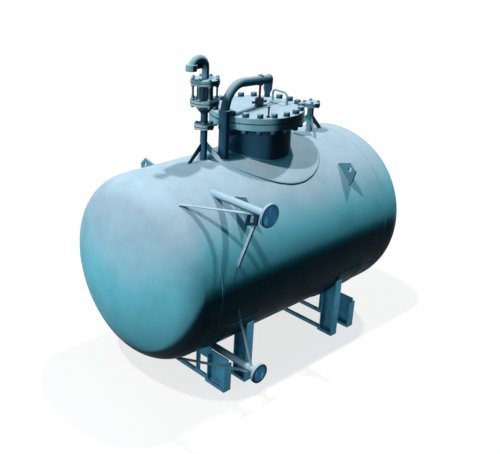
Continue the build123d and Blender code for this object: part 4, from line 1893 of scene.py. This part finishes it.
    def build(self) -> None:
        """Lays all beads."""
        self.shell_seams()
        self.manway()
        self.nozzles()
        self.lugs_and_braces()
        self.saddle_pads()
        self.saddle_feet()


@dataclass
class GaugeCapTrim(SubAssembly):
    """The rolled rim of each blue cap."""

    face: float = -1.006
    sides: int = 96

    def build(self) -> None:
        """Builds a rim for each cap."""
        for gauge in GAUGES:
            forge = Forge()
            level = gauge.sign * self.vessel.gauge_level
            place = self.vessel.sideward(self.vessel.gauge_x, self.face, level)
            cap, flange = gauge.cap_radius, gauge.flange_radius
            profile = [
                (cap - 0.004, -0.0036),
                (cap - 0.003, -0.0008),
                (cap + 0.001, -0.0002),
                (flange - 0.003, -0.0010),
                (flange - 0.0006, -0.0022),
                (flange - 0.0006, -0.0044),
                (cap - 0.004, -0.0044),
            ]
            forge.turned(place, profile, sides=self.sides, closed=True)
            name, paint = f"{gauge.word}_cap_rim", self.shop.shell
            forge.finished(name, Body.VESSEL, Slot.TANK, paint, smooth=50)


# Studio


@dataclass(frozen=True)
class SoftLamp:
    """A rectangular studio lamp."""

    name: str
    place: Triple
    aim: Triple
    size: Pair
    power: float
    colour: Colour

    def hang(self) -> None:
        """Hangs the lamp, turned to where it aims."""
        data = bpy.data.lights.new(self.name, "AREA")
        data.shape = "RECTANGLE"
        data.size, data.size_y = self.size
        data.energy = self.power
        data.color = self.colour
        lamp = stood(self.name, data)
        lamp.location = self.place
        way = Vector(self.aim) - Vector(self.place)
        lamp.rotation_euler = way.to_track_quat("-Z", "Y").to_euler()


@dataclass(frozen=True)
class KeyLight:
    """A far key light, as even as a sun."""

    name: str
    way: Triple
    power: float = 2.2
    spread: float = 2.5
    colour: Colour = (1.0, 0.876, 0.840)
    step_back: float = 4.0
    height: float = 6.0

    def hang(self) -> None:
        """Hangs the light above the vessel."""
        data = bpy.data.lights.new(self.name, "SUN")
        data.energy = self.power
        data.angle = math.radians(self.spread)
        data.color = self.colour
        lamp = stood(self.name, data)
        lamp.rotation_euler = Vector(self.way).to_track_quat("-Z", "Y").to_euler()
        back = -self.step_back
        lamp.location = (back * self.way[0], back * self.way[1], self.height)


@dataclass
class Studio:
    """Floor, lamps, surroundings and camera."""

    floor_half: float = 60.0
    floor_tones: tuple[Colour, Colour] = ((0.90, 0.90, 0.90), (0.93, 0.93, 0.93))
    floor_bounce: Colour = (0.003, 0.006, 0.008)
    floor_glow: float = 0.76
    sky: tuple[tuple[float, Colour], ...] = (
        (0.25, (0.0005, 0.0015, 0.003)),
        (0.9, (0.020, 0.280, 0.330)),
    )
    camera_place: Triple = (-4.634, -4.257, 3.794)
    camera_azimuth: float = 50.545
    camera_tilt: float = 24.238
    lens: float = 54.0
    shift: Pair = (0.188, 0.0177)
    lamps: tuple[KeyLight | SoftLamp, ...] = (
        KeyLight("key_from_far_end", (-0.47, -0.09, -1.0)),
        KeyLight("key_from_near_end", (0.43, -0.09, -1.0)),
        SoftLamp(
            "left_softbox",
            place=(-6.2, 0.7, 2.7),
            aim=(-1.0, 0.0, 1.0),
            size=(2.5, 2.5),
            power=136.0,
            colour=(0.93, 0.92, 0.94),
        ),
    )

    def floor(self) -> None:
        """Lays a plain pale floor, which sends little light up at the vessel."""
        bench = ShaderBench("studio_floor")
        bench.put("Roughness", 0.9)
        bench.put("Specular IOR Level", 0.1)
        seen = bench.seen_directly()
        grain = bench.blend(bench.noise(3.0, 3.0), *self.floor_tones)
        bench.put("Base Color", bench.blend(seen, self.floor_bounce, grain))
        glow = bench.node("ShaderNodeEmission")
        glow.inputs["Strength"].default_value = 1.0
        share = bench.times(seen, self.floor_glow)
        lit = bench.mixed(share, bench.shader.outputs[0], glow.outputs[0])
        bench.link(lit, bench.output.inputs["Surface"])
        sheet, half = bmesh.new(), self.floor_half
        corners = ((-half, -half), (half, -half), (half, half), (-half, half))
        sheet.faces.new([sheet.verts.new((x, y, 0.0)) for x, y in corners])
        data = bpy.data.meshes.new("studio_floor")
        sheet.to_mesh(data)
        sheet.free()
        data.materials.append(bench.material)
        piece = stood("studio_floor", data)

    def surroundings(self) -> None:
        """White to the camera and in reflections, a soft sky for all else."""
        world = bpy.data.worlds.new("studio_world")
        bpy.context.scene.world = world
        world.use_nodes = True
        bench = NodeBench(world.node_tree)
        place = bench.node("ShaderNodeTexCoord").outputs["Generated"]
        ramp = bench.node("ShaderNodeValToRGB")
        bench.link(bench.parts_of(place)[2], ramp.inputs["Fac"])
        for stop, (position, colour) in zip(ramp.color_ramp.elements, self.sky):
            stop.position, stop.color = position, (*colour, 1.0)
        sky, white = (bench.node("ShaderNodeBackground") for _ in range(2))
        bench.link(ramp.outputs["Color"], sky.inputs["Color"])
        bench.feed(white.inputs["Color"], (1.0, 1.0, 1.0))
        mixed = bench.mixed(bench.seen_directly(), sky.outputs[0], white.outputs[0])
        bench.link(mixed, bench.node("ShaderNodeOutputWorld").inputs["Surface"])

    def light(self) -> None:
        """Hangs the key lights and the softbox."""
        for lamp in self.lamps:
            lamp.hang()

    def camera(self) -> None:
        """Stands the camera where the photograph was taken from."""
        data = bpy.data.cameras.new("studio_camera")
        data.sensor_width = 36.0
        data.lens = self.lens
        data.shift_x, data.shift_y = self.shift
        data.clip_end = 200.0
        data.dof.use_dof = False
        item = stood("studio_camera", data)
        item.location = self.camera_place
        tilt, turn = math.radians(self.camera_tilt), math.radians(self.camera_azimuth)
        level = math.cos(tilt)
        way = Vector((math.cos(turn) * level, math.sin(turn) * level, -math.sin(tilt)))
        item.rotation_euler = way.to_track_quat("-Z", "Y").to_euler()
        bpy.context.scene.camera = item

    def build(self) -> None:
        """Sets up the whole studio."""
        self.floor()
        self.surroundings()
        self.light()
        self.camera()
        bpy.context.scene.view_settings.view_transform = "Standard"


def main() -> None:
    """Builds the scene piece by piece."""
    logging.basicConfig(level=logging.INFO, format="%(name)s %(message)s")
    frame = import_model()
    vessel = VesselFrame.from_cad()
    shop = PaintShop(vessel)
    CadDressing(shop, frame["nodes"], frame["record"]).dress()
    vent, stub = STACKS
    ManwayBolting(vessel, shop).build()
    NozzleBolting(
        vessel, shop, "vent_joint_bolts", vent.x, vent.low, vent.high, shop.shaded_fittings
    ).build()
    # The tie studs and the blind's bolts wear the paler rim paint, a painted highlight
    NozzleBolting(
        vessel,
        shop,
        "vent_tie_studs",
        vent.x,
        low=1.276,
        high=1.483,
        paint=shop.rims,
        circle=0.105,
        count=8,
        start=22.5,
        seats=((1.318, 1), (1.441, -1)),
    ).build()
    NozzleBolting(vessel, shop, "blind_bolts", stub.x, stub.low, stub.high, shop.rims).build()
    for piece in (LiftingGear, GaugeNozzles, GaugeBraces, VentWeb, WeldWork, GaugeCapTrim):
        piece(vessel, shop).build()
    Studio().build()
    LOG.info("sizes written")


if __name__ == "__main__":
    main()
